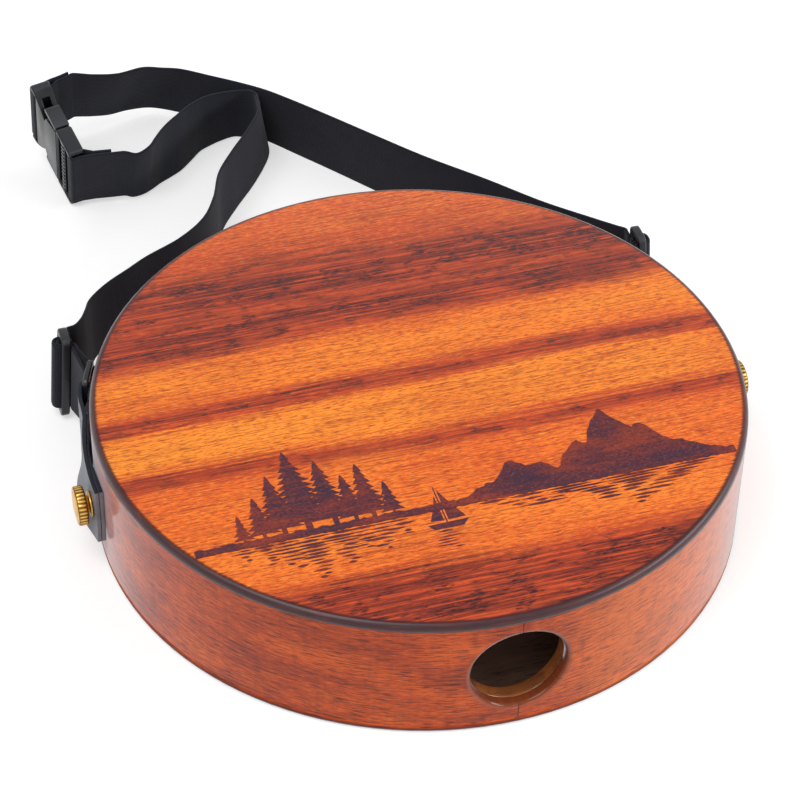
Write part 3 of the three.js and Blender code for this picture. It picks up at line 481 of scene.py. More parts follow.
def refined(node, material, bevel=0.0, segments=2, limit=40, body="own"):
    """A CAD node's solid again, with its sharp edges rounded and its round faces smooth."""
    source = NODES[node]
    work = bmesh.new()
    work.from_mesh(source.data)
    bmesh.ops.remove_doubles(work, verts=work.verts, dist=SAME_PLACE)
    bmesh.ops.dissolve_limit(work, angle_limit=FLAT_ANGLE, verts=work.verts, edges=work.edges)
    if bevel:
        sharp = [e for e in work.edges if len(e.link_faces) == 2 and
                 e.calc_face_angle(0) > math.radians(limit)]
        bmesh.ops.bevel(work, geom=sharp, offset=bevel * MM, offset_type="OFFSET",
                        segments=segments, profile=0.6, affect="EDGES", clamp_overlap=True)
    bmesh.ops.triangulate(work, faces=[f for f in work.faces if len(f.verts) > 4])
    bmesh.ops.recalc_face_normals(work, faces=work.faces)
    mesh = bpy.data.meshes.new(node + "_shown")
    work.to_mesh(mesh)
    work.free()
    smooth(mesh)
    own = source["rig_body"] if body == "own" else body
    return show(node + "_shown", mesh, material, own, node)


# Shares of the webbing's width at which its cross-section has a point, closest at the selvedges
SELVEDGE = [0.0, 0.004, 0.012, 0.024]
ACROSS = SELVEDGE + list(np.linspace(0.05, 0.95, 18)) + [1 - share for share in SELVEDGE[::-1]]


def strip(name, lows, highs, body, *nodes):
    """Webbing between a lower and an upper edge line, with round selvedges and a woven face."""
    lows, highs = [np.array(p, float) for p in (lows, highs)]
    count = len(lows)
    middle = (lows + highs) / 2
    step = np.linalg.norm(np.diff(middle, axis=0), axis=1)
    length = np.concatenate([[0], np.cumsum(step)])
    tangent = np.gradient(middle, axis=0)
    tangent /= np.linalg.norm(tangent, axis=1, keepdims=True)
    wide = highs - lows
    normal = np.cross(tangent, wide / np.linalg.norm(wide, axis=1, keepdims=True))
    normal /= np.linalg.norm(normal, axis=1, keepdims=True)
    half = WEBBING_THICKNESS / 2
    profile = []
    for s in ACROSS:
        from_edge = min(s, 1 - s) * WEBBING_WIDTH
        profile.append((s, half * math.sqrt(1 - (1 - min(from_edge / half, 1.0)) ** 2)))
    ring = [(s, t) for s, t in profile] + [(s, -t) for s, t in reversed(profile[1:-1])]
    points, uvs = [], []
    for i in range(count):
        for s, t in ring:
            points.append((lows[i] + wide[i] * s + normal[i] * t) * MM)
            uvs.append((length[i] * MM, s * WEBBING_WIDTH * MM))
    faces = []
    n = len(ring)
    for i in range(count - 1):
        for k in range(n):
            a, b = i * n + k, i * n + (k + 1) % n
            faces.append((a, b, b + n, a + n))
    faces.append(tuple(range(n))[::-1])
    faces.append(tuple((count - 1) * n + k for k in range(n)))
    mesh = bpy.data.meshes.new(name)
    mesh.from_pydata([tuple(p) for p in points], [], faces)
    layer = mesh.uv_layers.new(name="woven")
    for loop in mesh.loops:
        layer.data[loop.index].uv = uvs[loop.vertex_index]
    work = bmesh.new()
    work.from_mesh(mesh)
    bmesh.ops.recalc_face_normals(work, faces=work.faces)
    work.to_mesh(mesh)
    work.free()
    smooth(mesh, 60)
    return show(name, mesh, WOVEN, body, *nodes)


# ---------------------------------------------------------------- routes


def spline(points, shares):
    """A centripetal Catmull-Rom curve through the points, read at shares of its spans."""
    points = np.array(points, float)
    last = len(points) - 1
    out = []
    for share in shares:
        p = clamp(share) * last
        i = min(int(math.floor(p)), last - 1)
        w = p - i
        p1, p2 = points[i], points[i + 1]
        p0 = points[i - 1] if i > 0 else 2 * p1 - p2
        p3 = points[i + 2] if i + 2 <= last else 2 * p2 - p1
        d0, d1, d2 = (max(np.linalg.norm(b - a) ** 0.5, 1e-4)
                      for a, b in ((p0, p1), (p1, p2), (p2, p3)))
        t1 = ((p1 - p0) / d0 - (p2 - p0) / (d0 + d1) + (p2 - p1) / d1) * d1
        t2 = ((p2 - p1) / d1 - (p3 - p1) / (d1 + d2) + (p3 - p2) / d2) * d1
        square, cube = 3 * (p2 - p1) - 2 * t1 - t2, 2 * (p1 - p2) + t1 + t2
        out.append(p1 + t1 * w + square * w ** 2 + cube * w ** 3)
    return np.array(out)


# ---------------------------------------------------------------- buckle frame

BUCKLE = {"width": 44.0, "female": 32.0, "male": 18.6, "end": 10.4, "mouth": 8.4}
BUCKLE_LENGTH = BUCKLE["female"] + BUCKLE["male"]
BUCKLE_CORNER = (-0.7475 * RADIUS, 1.727 * RADIUS, 0.4)
YAW, PITCH, ROLL = (math.radians(a) for a in (11, 15.5, 4))
FEMALE_BAR, MALE_BAR, MALE_BAR_THICKNESS, SHELL = 3.4, 3.6, 4.0, 1.9
LEG_TIGHT, LEG_TAIL, LEG_APART = 7.0, 18.0, 1.05
FEMALE_END = {"start": 0.0, "end": FEMALE_BAR, "half": BUCKLE["end"] / 2 - SHELL,
              "share": 0.33, "shift": -4.0}
MALE_END = {"start": BUCKLE_LENGTH - MALE_BAR, "end": BUCKLE_LENGTH,
            "half": MALE_BAR_THICKNESS / 2, "share": 0.67, "shift": 5.3}
# How the back strap's weight eases the female end's far legs: from this depth, over this depth,
# and how far each edge moves
EASE_FROM, EASE_OVER = 5, 13
EASE_LOW, EASE_HIGH = np.array([0, 0, -0.4]), np.array([-0.4, -1.35, -0.45])


def buckle_place():
    """The buckle's axes (along, across, face) as columns, and the place of its own zero."""
    level = np.array([math.sin(YAW), -math.cos(YAW), 0])
    up = np.array([0, 0, 1.0])
    out = np.array([-math.cos(YAW), -math.sin(YAW), 0])
    along = level * math.cos(PITCH) - up * math.sin(PITCH)
    rise = level * math.sin(PITCH) + up * math.cos(PITCH)
    across = rise * math.cos(ROLL) + out * math.sin(ROLL)
    face = out * math.cos(ROLL) - rise * math.sin(ROLL)
    turn = np.stack([along, across, face], 1)
    corner = turn @ np.array([BUCKLE_LENGTH, -BUCKLE["width"] / 2, BUCKLE["mouth"] / 2])
    return turn, np.array(BUCKLE_CORNER) - corner


TURN, SHIFT = buckle_place()


def at_buckle(x, depth, y):
    """A point along the buckle, at a depth under its face and so far across."""
    return TURN @ np.array([x, y, -depth]) + SHIFT


# ---------------------------------------------------------------- strap routes

# Stations in shares of the drum's radius: the lower edge's place, and how far the upper edge leans
BACK_ROUTE = [
    (-0.593, 2.107, 0.097, 0.008, -0.086), (-0.52, 2.137, 0.069, 0.028, -0.09),
    (-0.445, 2.162, 0.058, 0.055, -0.083), (-0.357, 2.18, 0.04, 0.034, -0.096),
    (-0.259, 2.153, 0.02, -0.002, -0.077),
    (-0.141, 2.072, 0.007, -0.025, -0.053), (-0.045, 1.985, 0.002, -0.031, -0.031),
    (0.03, 1.9, 0.002, -0.026, -0.018), (0.103, 1.805, 0.002, -0.02, -0.014),
    (0.191, 1.69, 0.002, -0.015, -0.014), (0.312, 1.527, 0.002, -0.011, -0.01),
    (0.44, 1.357, 0.002, -0.006, -0.006), (0.6, 1.165, 0.004, 0, 0), (0.745, 0.985, 0.01, 0, 0),
    (0.86, 0.845, 0.026, 0, 0), (0.925, 0.76, 0.04, 0, 0)]
FRONT_ROUTE = [
    (-0.527, 1.717, 0.006, 0.012, -0.075), (-0.49, 1.724, 0.004, 0.025, -0.055),
    (-0.459, 1.741, 0.003, 0.025, -0.033), (-0.415, 1.773, 0.002, 0.015, -0.021),
    (-0.373, 1.797, 0.002, 0.005, -0.012), (-0.329, 1.825, 0.002, 0.002, -0.004),
    (-0.282, 1.871, 0.002, 0.007, -0.007), (-0.233, 1.921, 0.002, 0.017, -0.024),
    (-0.189, 1.945, 0.002, 0.018, -0.037), (-0.148, 1.962, 0.002, 0.013, -0.05),
    (-0.089, 1.974, 0.002, 0.008, -0.063), (-0.041, 1.948, 0.002, -0.005, -0.052),
    (-0.004, 1.913, 0.002, -0.028, -0.041), (0.007, 1.871, 0.002, -0.041, -0.025),
    (-0.006, 1.821, 0.002, -0.033, -0.013), (-0.04, 1.76, 0.002, -0.014, -0.002),
    (-0.108, 1.662, 0.002, -0.008, 0.002), (-0.19, 1.56, 0.002, -0.005, 0.002),
    (-0.267, 1.452, 0.002, -0.002, 0.001), (-0.32, 1.323, 0.002, 0, 0),
    (-0.38, 1.222, 0.002, 0, 0), (-0.48, 1.137, 0.002, 0, 0),
    (-0.615, 1.067, 0.002, 0, 0), (-0.686, 1.021, 0.002, 0, 0),
    (-0.757, 0.976, 0.002, 0, 0), (-0.797, 0.943, 0.003, 0, 0), (-0.827, 0.909, 0.008, 0, 0),
    (-0.847, 0.877, 0.015, 0, 0), (-0.867, 0.827, 0.025, 0, 0), (-0.891, 0.777, 0.035, 0, 0),
    (-0.92, 0.743, 0.041, 0, 0)]
SLIDER = {"rail": 4.2, "bar": 1.7, "slot": 4.0, "thickness": 4.2, "outward": 146.8,
          "along": 100.4, "lift": 2.0, "lean": 0.0755}
WEBBING_GAP, LEAD, SLIDER_LEAD = 0.4, 0.8, 2.0
BUCKLE_START, FEMALE_LEAD, MALE_LEAD = 0.02, 1.5, 6.0
SLIDER_STEP = SLIDER["bar"] + SLIDER["slot"]
SLIDER_LENGTH = 3 * SLIDER["bar"] + 2 * SLIDER["slot"]
INNER_FACE = SLIDER["outward"] - SLIDER["thickness"] / 2
OUTER_FACE = SLIDER["outward"] + SLIDER["thickness"] / 2
WEBBING_LOW = SLIDER["lift"] + SLIDER["rail"] + WEBBING_GAP
WEBBING_HIGH = WEBBING_LOW + WEBBING_WIDTH
WEBBING_MIDDLE = (WEBBING_LOW + WEBBING_HIGH) / 2
WEBBING_END = (INNER_FACE - SHEATH, SLIDER["along"] + SLIDER_LENGTH / 2 + LEAD)


def station(row):
    """The strap's lower and upper edge points at one row of a route."""
    low = np.array(row[:3]) * RADIUS
    lean = np.array([row[3], row[4], 0]) * RADIUS
    high = low + lean
    high[2] = low[2] + math.sqrt(WEBBING_WIDTH ** 2 - lean @ lean)
    return low, high


def leg_middle(end, depth):
    """How far along the buckle the middle of a sewn loop's two legs is at a depth."""
    bar_middle = end["start"] + (end["end"] - end["start"]) * end["share"]
    return bar_middle + end["shift"] * depth / LEG_TAIL


def leg_edges(end, x, depth):
    """The two edges of a sewn leg; the back strap's own weight eases the far ones down."""
    low, high = (at_buckle(x, depth, y) for y in (-WEBBING_WIDTH / 2, WEBBING_WIDTH / 2))
    if end is FEMALE_END:
        ease = smoothstep(clamp((depth - EASE_FROM) / EASE_OVER))
        low, high = low + EASE_LOW * ease, high + EASE_HIGH * ease
    return low, high


def buckle_station(end, setback):
    """The strap's edges so far past the end of a sewn leg."""
    depth = LEG_TAIL + setback
    return leg_edges(end, leg_middle(end, depth) + LEG_APART, depth)


def slider_lean(z):
    """How far the slider's webbing leans outward at a height."""
    return SLIDER["lean"] * (WEBBING_MIDDLE - z)


def slider_station(side, setback):
    """The strap's edges so far before the webbing's end at a slider."""
    return [np.array([side * (WEBBING_END[0] + slider_lean(z)), WEBBING_END[1] + setback, z])
            for z in (WEBBING_LOW, WEBBING_HIGH)]


def strap(rows, end, side, cuts, names, steps):
    """A free run of strap, cut at shares of its route into named stretches."""
    lead = FEMALE_LEAD if end is FEMALE_END else MALE_LEAD
    stations = [buckle_station(end, BUCKLE_START), buckle_station(end, lead)]
    stations += [station(row) for row in rows]
    stations += [slider_station(side, SLIDER_LEAD), slider_station(side, SEAT)]
    lows, highs = [s[0] for s in stations], [s[1] for s in stations]
    made = []
    for start, stop, name in zip(cuts[:-1], cuts[1:], names):
        shares = np.linspace(start, stop, max(8, int(steps * (stop - start))))
        made.append((name, spline(lows, shares), spline(highs, shares)))
    return made


def arc(cx, cy, radius, start, end, steps=7):
    """Points on an arc, from one angle to another."""
    return [(cx + radius * math.cos(start + (end - start) * i / steps),
             cy + radius * math.sin(start + (end - start) * i / steps)) for i in range(steps + 1)]


def even(points, gap):
    """The line again with points about a gap apart, keeping its own corners."""
    out = [points[0]]
    for a, b in zip(points[:-1], points[1:]):
        length = math.dist(a, b)
        if length < SAME_PLACE:
            continue
        parts = max(1, int(length / gap))
        out += [(a[0] + (b[0] - a[0]) * k / parts, a[1] + (b[1] - a[1]) * k / parts)
                for k in range(1, parts + 1)]
    return out


# The ring's bars, seen from above: the first in the leather's fold, the second in the webbing's
FOLD_RADIUS = RADIUS + LEATHER["stand_off"] + 2 * SEAT + LEATHER["thickness"] + RING["wire"] / 2
FOLD_ANGLE = LEATHER["reach"] / FOLD_RADIUS
FIRST_BAR = (FOLD_RADIUS * math.cos(FOLD_ANGLE), FOLD_RADIUS * math.sin(FOLD_ANGLE))
SECOND_BAR = (FIRST_BAR[0] - math.sin(RING["turn"]) * RING["length"],
              FIRST_BAR[1] + math.cos(RING["turn"]) * RING["length"])


def webbing_route():
    """The webbing's middle line from its free end, round the slider and the ring, and back."""
    along, bar = SLIDER["along"], SLIDER["bar"]
    far_edge = along + SLIDER_STEP - bar / 2
    near_edge = along - SLIDER_STEP + bar / 2
    outer_turn = far_edge - SHEATH - (along + bar / 2)
    entry = along - SLIDER_LENGTH / 2
    layers = (INNER_FACE - SHEATH, INNER_FACE - outer_turn)
    dx, dy = SECOND_BAR[0] - sum(layers) / 2, SECOND_BAR[1] - entry
    fold = math.atan2(dx, -dy)
    q = math.pi / 2
    return even([WEBBING_END, (INNER_FACE - SHEATH, far_edge)]
                + arc(INNER_FACE, far_edge, SHEATH, 2 * q, 3 * q)
                + arc(OUTER_FACE, along + bar / 2, outer_turn, q, 0)
                + arc(OUTER_FACE, along - bar / 2, outer_turn, 0, -q)
                + arc(INNER_FACE, near_edge, SHEATH, q, 2 * q)
                + [(layers[0], entry)]
                + arc(*SECOND_BAR, RING["wire"] / 2 + SHEATH, fold, fold - math.pi, 12)
                + [(layers[1], entry)]
                + arc(INNER_FACE, near_edge, outer_turn, 2 * q, q)
                + arc(OUTER_FACE, along - bar / 2, SHEATH, -q, 0)
                + arc(OUTER_FACE, along + bar / 2, SHEATH, 0, q)
                + arc(INNER_FACE, along + bar / 2, SHEATH, q, 2 * q)
                + [(INNER_FACE - SHEATH, along - bar / 2 + SEAT)], gap=1.5)


def end_loop_route(end):
    """The middle line of a buckle end's loop: along the buckle, and the depth as a negative."""
    tight = LEG_TIGHT + end["half"]
    return even([(leg_middle(end, LEG_TAIL) - LEG_APART, -LEG_TAIL),
                 (leg_middle(end, tight) - LEG_APART, -tight),
                 (end["start"] - SHEATH, -end["half"])]
                + arc(end["start"], end["half"], SHEATH, math.pi, math.pi / 2)
                + arc(end["end"], end["half"], SHEATH, math.pi / 2, 0)
                + [(end["end"] + SHEATH, -end["half"]),
                   (leg_middle(end, tight) + LEG_APART, -tight),
                   (leg_middle(end, LEG_TAIL) + LEG_APART, -LEG_TAIL)], gap=1.2)


def end_loop(name, end, body, node):
    """The loop sewn round one of the buckle's end bars."""
    lows, highs = zip(*(leg_edges(end, x, -z) for x, z in end_loop_route(end)))
    strip(name, lows, highs, body, node)


# The doubled webbing stands upright at the ring and takes up the slider's lean on its way there
LEAN_FROM = SECOND_BAR[1] + RING["wire"] / 2 + SHEATH
LEAN_TO = SLIDER["along"] - SLIDER_LENGTH / 2
for label, side in (("left", -1), ("right", 1)):
    edges = [[(side * (x + slider_lean(z) * clamp((y - LEAN_FROM) / (LEAN_TO - LEAN_FROM))), y, z)
              for x, y in webbing_route()] for z in (WEBBING_LOW, WEBBING_HIGH)]
    loop = strip(f"webbing_{label}_woven", *edges, None, f"webbing_{label}")
    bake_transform(loop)

end_loop("loop_female_woven", FEMALE_END, "drum", "strap_loop_female")
end_loop("loop_male_woven", MALE_END, "buckle_male", "strap_loop_male")

front = strap(FRONT_ROUTE, MALE_END, -1, (0, 0.3, 0.48, 0.62, 0.76, 1),
              ("strap_front_lead", "strap_front_run", "strap_front_bend", "strap_front_turn",
               "strap_front_end"), steps=620)
back = strap(BACK_ROUTE, FEMALE_END, 1, (0, 0.47, 0.63, 0.78, 1),
             ("strap_back_run", "strap_back_bend", "strap_back_turn", "strap_back_end"), steps=420)


def bent(run, near, far, *nodes):
    """A stretch of strap, shown on no body with its place baked in."""
    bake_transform(strip(*run, None, *nodes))


# The front run's first stretch is made from its far end
name, lows, highs = front[0]
bent((name, lows[::-1], highs[::-1]), "drum", "buckle_male", "strap_front")
strip(*front[1], "drum")
strip(*back[0], "drum", "strap_back")
for label, stretches in (("left", front[2:]), ("right", back[1:])):
    bodies = ["drum", f"tab_{label}", f"ring_{label}", f"slider_{label}"]
    for stretch, near, far in zip(stretches, bodies, bodies[1:]):
        bent(stretch, near, far)

# ---------------------------------------------------------------- rigid pieces


def rounded_wall(made):
    """Gives the round outer wall its true normals, so that its facets don't show in the gloss."""
    mesh = made.data
    normals = [tuple(corner.vector) for corner in mesh.corner_normals]
    for face in mesh.polygons:
        out = Vector((face.center.x, face.center.y, 0)).normalized()
        if face.normal.dot(out) < 0.985 or face.center.xy.length < (RADIUS - 0.5) * MM:
            continue
        for loop in face.loop_indices:
            x, y, _ = mesh.vertices[mesh.loops[loop].vertex_index].co
            reach = math.hypot(x, y)
            normals[loop] = (x / reach, y / reach, 0.0)
    mesh.normals_split_custom_set(normals)


# Where the leather tab is cut to bend: heights, and then distances from the screw towards its fold
TAB_LEVELS = (19.5, 21, 22.5, 24, 25.5, 27, 34, 38, 42, 45)
TAB_PLACES = range(-8, 60, 4)
# How far the lower edge stands off, below which height, and over which height and lengths it grows
FLARE, FLARE_TOP, FLARE_BAND, FLARE_POWER = 4.2, 27, 9, 1.3
FLARE_START, FLARE_GROWTH, FLARE_END, FLARE_FADE = -14, 28, 61, 34
# How much thinner the inner layer is at the top, above which height, and from where along it
SKIVE, SKIVE_FROM, SKIVE_BAND, SKIVE_START, SKIVE_GROWTH = 1.1, 31, 8, -1, 16
# The inner layer's inner face lies inside these distances, the second one near the fold
INNER_REACH, FOLD_REACH, NEAR_FOLD = RADIUS + 1.6, RADIUS + 2.8, 44


def flared(made):
    """The tab's lower edge stands off the wall; its inner layer is thinned at the upper edge."""
    work = bmesh.new()
    work.from_mesh(made.data)
    cuts = [((0, 0, 1), z) for z in TAB_LEVELS] + [((0, 1, 0), y) for y in TAB_PLACES]
    for way, place in cuts:
        bmesh.ops.bisect_plane(work, geom=work.verts[:] + work.edges[:] + work.faces[:],
                               plane_co=Vector(way) * place * MM, plane_no=way)
    for vertex in work.verts:
        x, y, z = vertex.co / MM
        share = clamp((y - FLARE_START) / FLARE_GROWTH) * clamp((FLARE_END - y) / FLARE_FADE)
        droop = max(0, (FLARE_TOP - z) / FLARE_BAND) ** FLARE_POWER
        push = FLARE * droop * smoothstep(share)
        reach = math.hypot(x, y)
        if reach < INNER_REACH or (reach < FOLD_REACH and y > NEAR_FOLD):
            taper = clamp((y - SKIVE_START) / SKIVE_GROWTH)
            push += SKIVE * clamp((z - SKIVE_FROM) / SKIVE_BAND) * taper
        vertex.co += Vector((x / reach, y / reach, 0)) * push * MM
    work.to_mesh(made.data)
    work.free()
    smooth(made.data)


def second_material(made, material, chosen):
    """Another material on the faces whose upward share is chosen."""
    made.data.materials.append(material)
    for face in made.data.polygons:
        face.material_index = int(chosen(face.normal.z))


second_material(refined("top_plate", TOP), RIM, lambda up: abs(up) <= 0.97)
rounded_wall(refined("drum_hoop", SIDE))
second_material(refined("back_plate", SIDE), INNER, lambda up: up > 0.9)
refined("lower_lining", BARE, 0.5)
refined("upper_lining", BARE, 0.5)
refined("splice_block", GOLDEN, 0.5)
for node in ("snare_bar", "screw_block_left", "screw_block_right"):
    refined(node, BARE, 0.5)
for node in ("snare_coil_1", "snare_coil_2"):
    refined(node, STEEL)
for label in ("left", "right"):
    refined(f"threaded_insert_{label}", BRASS)
    refined(f"thumbscrew_{label}", BRASS, 0.12, 1, 35)
    refined(f"washer_{label}", BRASS, 0.12)
    refined(f"ring_{label}", PLASTIC, 0.25)
    refined(f"slider_{label}", PLASTIC, 0.25)
    flared(refined(f"leather_tab_{label}", HIDE, 0.3, 2, 60))
for node in ("buckle_female", "buckle_male"):
    refined(node, PLASTIC, 0.22)
for node, side in (("prong_upper", 1), ("prong_lower", -1)):
    made = refined(node, PLASTIC, 0.22, body=None)
    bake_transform(made)

# ---------------------------------------------------------------- engraving

rng = random.Random(7)
BURN_TOP, BURN_STEP, BURN_FOOT = HEIGHT + 0.03, 0.002, HEIGHT - 0.4
ENGRAVED_RADIUS = 146
SHORE = -76.0
BANK_TOP, BANK_FOOT = 0.6, 3.4
WATER_GAP, WATER_SHARE = 4.6, 0.5
strokes = []


def jagged(points, level, reach):
    """Breaks each stretch of an outline in two, some times over, with less and less offset."""
    for _ in range(level):
        finer = [points[0]]
        for (x0, y0), (x1, y1) in zip(points[:-1], points[1:]):
            finer += [((x0 + x1) / 2 + rng.uniform(-reach, reach) / 2,
                       (y0 + y1) / 2 + rng.uniform(-reach, reach)), (x1, y1)]
        points, reach = finer, reach / 2
    return points


def ridge(crest):
    """A mountain range that stands on the shore."""
    outline = jagged([(x, SHORE + h) for x, h in crest], 3, 1.3)
    return [(crest[0][0], SHORE)] + outline + [(crest[-1][0], SHORE)]


def range_width(crest, level):
    """Where a range is as high as a level: its leftmost and rightmost places."""
    n = 12
    inside = [x0 + (x1 - x0) * k / n for (x0, h0), (x1, h1) in zip(crest[:-1], crest[1:])
              for k in range(n + 1) if h0 + (h1 - h0) * k / n >= level]
    return (min(inside), max(inside)) if inside else None


# A fir's proportions, in shares of its height
FIR = {"reach": 0.27, "skirt": 0.12, "crown": 0.86, "trunk": 0.03, "foot": 0.11}
BOUGH_DROOP, NOTCH_REACH, NOTCH_RISE = 0.6, 0.42, 0.75


def fir(x, base, height, seed):
    """A fir tree: tiers of drooping boughs on a short trunk."""
    r = random.Random(seed)
    left, right = [], []
    tiers = max(5, int(height / 4))
    for i in range(tiers):
        s = i / tiers
        reach = height * FIR["reach"] * (1 - s) ** 0.8 * r.uniform(0.85, 1.1)
        level = base + height * (FIR["skirt"] + FIR["crown"] * s)
        tip, notch = level - BOUGH_DROOP, level + height * FIR["crown"] / tiers * NOTCH_RISE
        left += [(x - reach, tip), (x - reach * NOTCH_REACH, notch)]
        right += [(x + reach * r.uniform(0.85, 1.1), tip), (x + reach * NOTCH_REACH, notch)]
    trunk, foot = height * FIR["trunk"], base + height * FIR["foot"]
    return ([(x - trunk, base), (x - trunk, foot)] + left + [(x, base + height)]
            + right[::-1] + [(x + trunk, foot), (x + trunk, base)])


def sliver(x, y, length, thick):
    """A lens-shaped ripple."""
    n = 8
    upper = [(x - length / 2 + length * i / n, y + thick / 2 * math.sin(math.pi * i / n))
             for i in range(n + 1)]
    lower = [(px, 2 * y - py + rng.uniform(-0.1, 0.1)) for px, py in upper[1:-1]][::-1]
    return upper + lower


def shore():
    """A thin uneven bank right across the plate."""
    upper, lower = [], []
    reach = math.sqrt(ENGRAVED_RADIUS ** 2 - SHORE ** 2) - 1
    n = 160
    for i in range(n + 1):
        x = -reach + 2 * reach * i / n
        upper.append((x, SHORE + BANK_TOP + rng.uniform(-0.5, 0.7)))
        lower.append((x, SHORE - BANK_FOOT + rng.uniform(-0.4, 0.3)))
    return upper + lower[::-1]


def mirrored_in_water(width, height):
    """Broken slivers under the shore, in the shape of what stands over them, flattened."""
    depth = WATER_GAP
    while depth < WATER_GAP + height * WATER_SHARE:
        span = width((depth - WATER_GAP) / WATER_SHARE)
        if span and span[1] - span[0] > 1.5:
            across = span[1] - span[0]
            length = across * rng.uniform(0.55, 1.0) + rng.uniform(1, 5)
            pieces = 1 if length < 22 else 3
            for k in range(pieces):
                part = length / pieces * rng.uniform(0.6, 1.15)
                middle = span[0] + across * (k + 0.5) / pieces + rng.uniform(-2.5, 2.5)
                strokes.append(sliver(middle, SHORE - depth, part, rng.uniform(0.7, 1.5)))
        depth += rng.uniform(1.5, 2.5)


# Crests and trees: place along the shore, and height over it
NEAR_RANGE = [(30, 0), (38, 6), (45, 9), (52, 19), (57, 23), (61, 20), (68, 34), (73, 40),
              (77, 33), (84, 24), (88, 26), (95, 15), (103, 11), (112, 4), (120, 0)]
FAR_RANGE = [(-2, 0), (6, 5), (13, 7), (20, 15), (25, 18), (30, 13), (37, 14), (44, 7), (52, 4)]
FIRS = [(-92, 26), (-83, 38), (-72, 51), (-60, 42), (-51, 30), (-43, 35), (-34, 21), (-101, 17)]
# The boat's place, and its hull, mast, mainsail and foresail from there
BOAT = (-14, SHORE - 13)
BOAT_OUTLINES = [
    [(-9, 1.5), (-6.5, -1.8), (6.5, -1.8), (10, 1.9)],
    [(-0.3, 1.6), (0.3, 1.6), (0.3, 24), (-0.3, 24)],
    [(1, 3), (9, 3.4), (6.5, 9), (3.4, 16), (1, 22.5)],
    [(-1, 3), (-1, 19), (-3.6, 11), (-7, 3.6)]]

strokes.append(shore())
strokes.append(ridge(NEAR_RANGE))
strokes.append(ridge(FAR_RANGE))
for crest in (NEAR_RANGE, FAR_RANGE):
    mirrored_in_water(lambda level: range_width(crest, level), max(h for _, h in crest))
for k, (x, height) in enumerate(FIRS):
    strokes.append(fir(x, SHORE, height, 20 + k))
    mirrored_in_water(lambda level: [x + side * (height - level) / 4 for side in (-1, 1)], height)
bx, by = BOAT
strokes += [[(bx + x, by + y) for x, y in outline] for outline in BOAT_OUTLINES]
for k in range(7):
    strokes.append(sliver(bx + rng.uniform(-4, 4), by - 3.2 - 1.7 * k,
                          rng.uniform(5, 13), rng.uniform(0.6, 1.1)))


def engraving():
    """One thin raised solid for each stroke, the first highest, so that no two faces coincide."""
    work = bmesh.new()
    for layer, outline in enumerate(strokes):
        height = BURN_TOP + BURN_STEP * (len(strokes) - layer)
        top = [work.verts.new((x * MM, y * MM, height * MM)) for x, y in outline]
        foot = [work.verts.new((x * MM, y * MM, BURN_FOOT * MM)) for x, y in outline]
        n = len(top)
        for i in range(n):
            work.faces.new((top[i], top[(i + 1) % n], foot[(i + 1) % n], foot[i]))
        cap = work.faces.new(top)
        base = work.faces.new(foot[::-1])
        bmesh.ops.triangulate(work, faces=[cap, base])
    bmesh.ops.recalc_face_normals(work, faces=work.faces)
    mesh = bpy.data.meshes.new("engraving")
    work.to_mesh(mesh)
    work.free()
    show("engraving", mesh, BURNT, "drum")


engraving()

# ---------------------------------------------------------------- studio

FLOOR_GREY, FLOOR_GLOW = 205, 0.5
WORLD_LIGHT, WORLD_SEEN = 0.5, 1.0


def pale_floor():
    """Shows near white to the camera and in gloss, and keeps the object's soft shadow."""
    g = Graph("pale_floor")
    g.finish((FLOOR_GREY, FLOOR_GREY, FLOOR_GREY), 0.9)
    seen = g.node("ShaderNodeLightPath")
    glow = g.node("ShaderNodeEmission")
    glow.inputs["Strength"].default_value = FLOOR_GLOW
    both = g.node("ShaderNodeAddShader")
    g.link(g.shader.outputs[0], both.inputs[0])
    g.link(glow.outputs[0], both.inputs[1])
    pick = g.node("ShaderNodeMixShader")
    shown = g.math("MAXIMUM", seen.outputs["Is Camera Ray"], seen.outputs["Is Glossy Ray"])
    g.link(shown, pick.inputs[0])
    g.link(g.shader.outputs[0], pick.inputs[1])
    g.link(both.outputs[0], pick.inputs[2])
    out = next(n for n in g.tree.nodes if n.type == "OUTPUT_MATERIAL")
    g.link(pick.outputs[0], out.inputs["Surface"])
    return g.material


def floor():
    """A wide floor just under the drum, so that the two never share a plane."""
    work = bmesh.new()
    bmesh.ops.create_grid(work, x_segments=8, y_segments=8, size=4.0)
    mesh = bpy.data.meshes.new("floor")
    work.to_mesh(mesh)
    work.free()
    mesh.materials.append(pale_floor())
    made = bpy.data.objects.new("floor", mesh)
    made.location = (0, 0, -0.0003)
    bpy.context.scene.collection.objects.link(made)


def lamp(name, place, aim, size, power):
    data = bpy.data.lights.new(name, "AREA")
    data.shape = "RECTANGLE"
    data.size, data.size_y = size
    data.energy = power
    made = bpy.data.objects.new(name, data)
    made.location = place
    made.rotation_euler = (Vector(aim) - Vector(place)).to_track_quat("-Z", "Y").to_euler()
    bpy.context.scene.collection.objects.link(made)


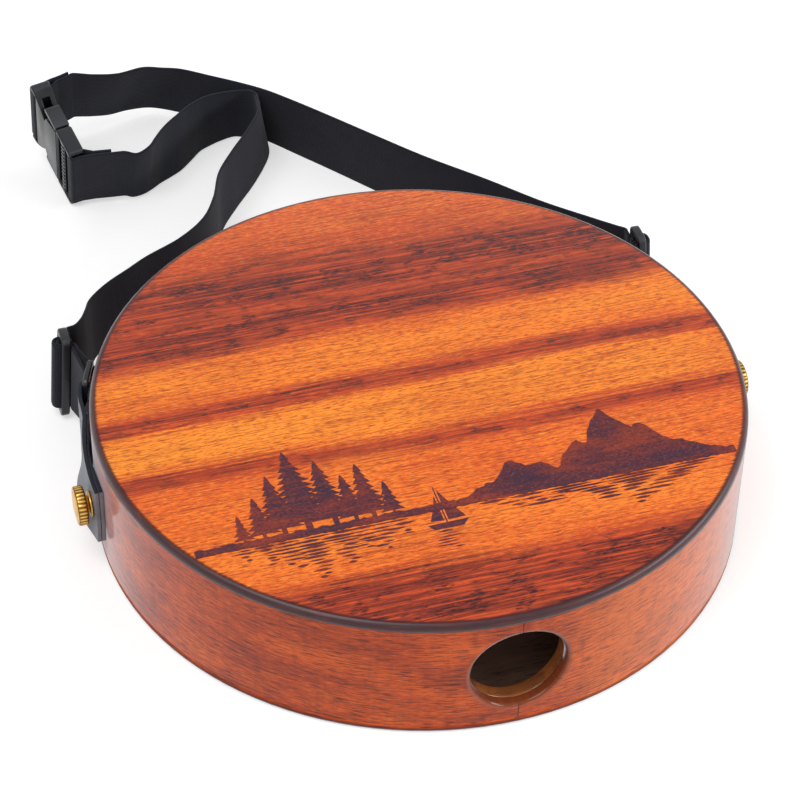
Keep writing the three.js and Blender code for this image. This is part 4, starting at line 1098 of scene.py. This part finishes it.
def world():
    """White where the camera or a gloss sees it, and dimmer as a light on the object."""
    made = bpy.data.worlds.new("studio")
    bpy.context.scene.world = made
    made.use_nodes = True
    tree = made.node_tree
    back = tree.nodes["Background"]
    back.inputs["Color"].default_value = (1, 1, 1, 1)
    path = tree.nodes.new("ShaderNodeLightPath")
    seen = tree.nodes.new("ShaderNodeMath")
    seen.operation = "MAXIMUM"
    tree.links.new(path.outputs["Is Camera Ray"], seen.inputs[0])
    tree.links.new(path.outputs["Is Glossy Ray"], seen.inputs[1])
    level = tree.nodes.new("ShaderNodeMapRange")
    level.inputs["To Min"].default_value = WORLD_LIGHT
    level.inputs["To Max"].default_value = WORLD_SEEN
    tree.links.new(seen.outputs[0], level.inputs["Value"])
    tree.links.new(level.outputs["Result"], back.inputs["Strength"])


# The photograph's own view, found from the drum's rims, hole and strap; distances in drum radii
TILT, ROLL_RIGHT, TURN_LEFT = 0.729391, 0.020372, math.radians(-17.52)
AIM, DISTANCE, LENS = (-0.05776, 0.43219, 0), 9.01, 124.28


def camera():
    tilt, roll, turn = TILT, ROLL_RIGHT, TURN_LEFT
    back = Vector((0, -math.cos(tilt), math.sin(tilt)))
    right = Vector((1, 0, 0))
    up = Vector((0, math.sin(tilt), math.cos(tilt)))
    across = right * math.cos(roll) + up * math.sin(roll)
    rise = up * math.cos(roll) - right * math.sin(roll)
    place = (Vector(AIM) + back * DISTANCE) * RADIUS * MM
    spin = Matrix.Rotation(turn, 3, "Z")
    data = bpy.data.cameras.new("camera")
    data.lens, data.sensor_width = LENS, 36
    data.clip_start, data.clip_end = 0.05, 20
    made = bpy.data.objects.new("camera", data)
    basis = Matrix((spin @ across, spin @ rise, spin @ back)).transposed()
    made.matrix_world = Matrix.Translation(spin @ place) @ basis.to_4x4()
    bpy.context.scene.collection.objects.link(made)
    bpy.context.scene.camera = made


floor()
world()
lamp("key", (-0.7, -0.4, 1.5), (0, 0, 0.03), (1.0, 1.0), 14)
lamp("window", (1.3, -0.6, 0.75), (0, 0, 0.03), (1.5, 0.35), 14)
camera()
bpy.context.scene.view_settings.view_transform = "Standard"
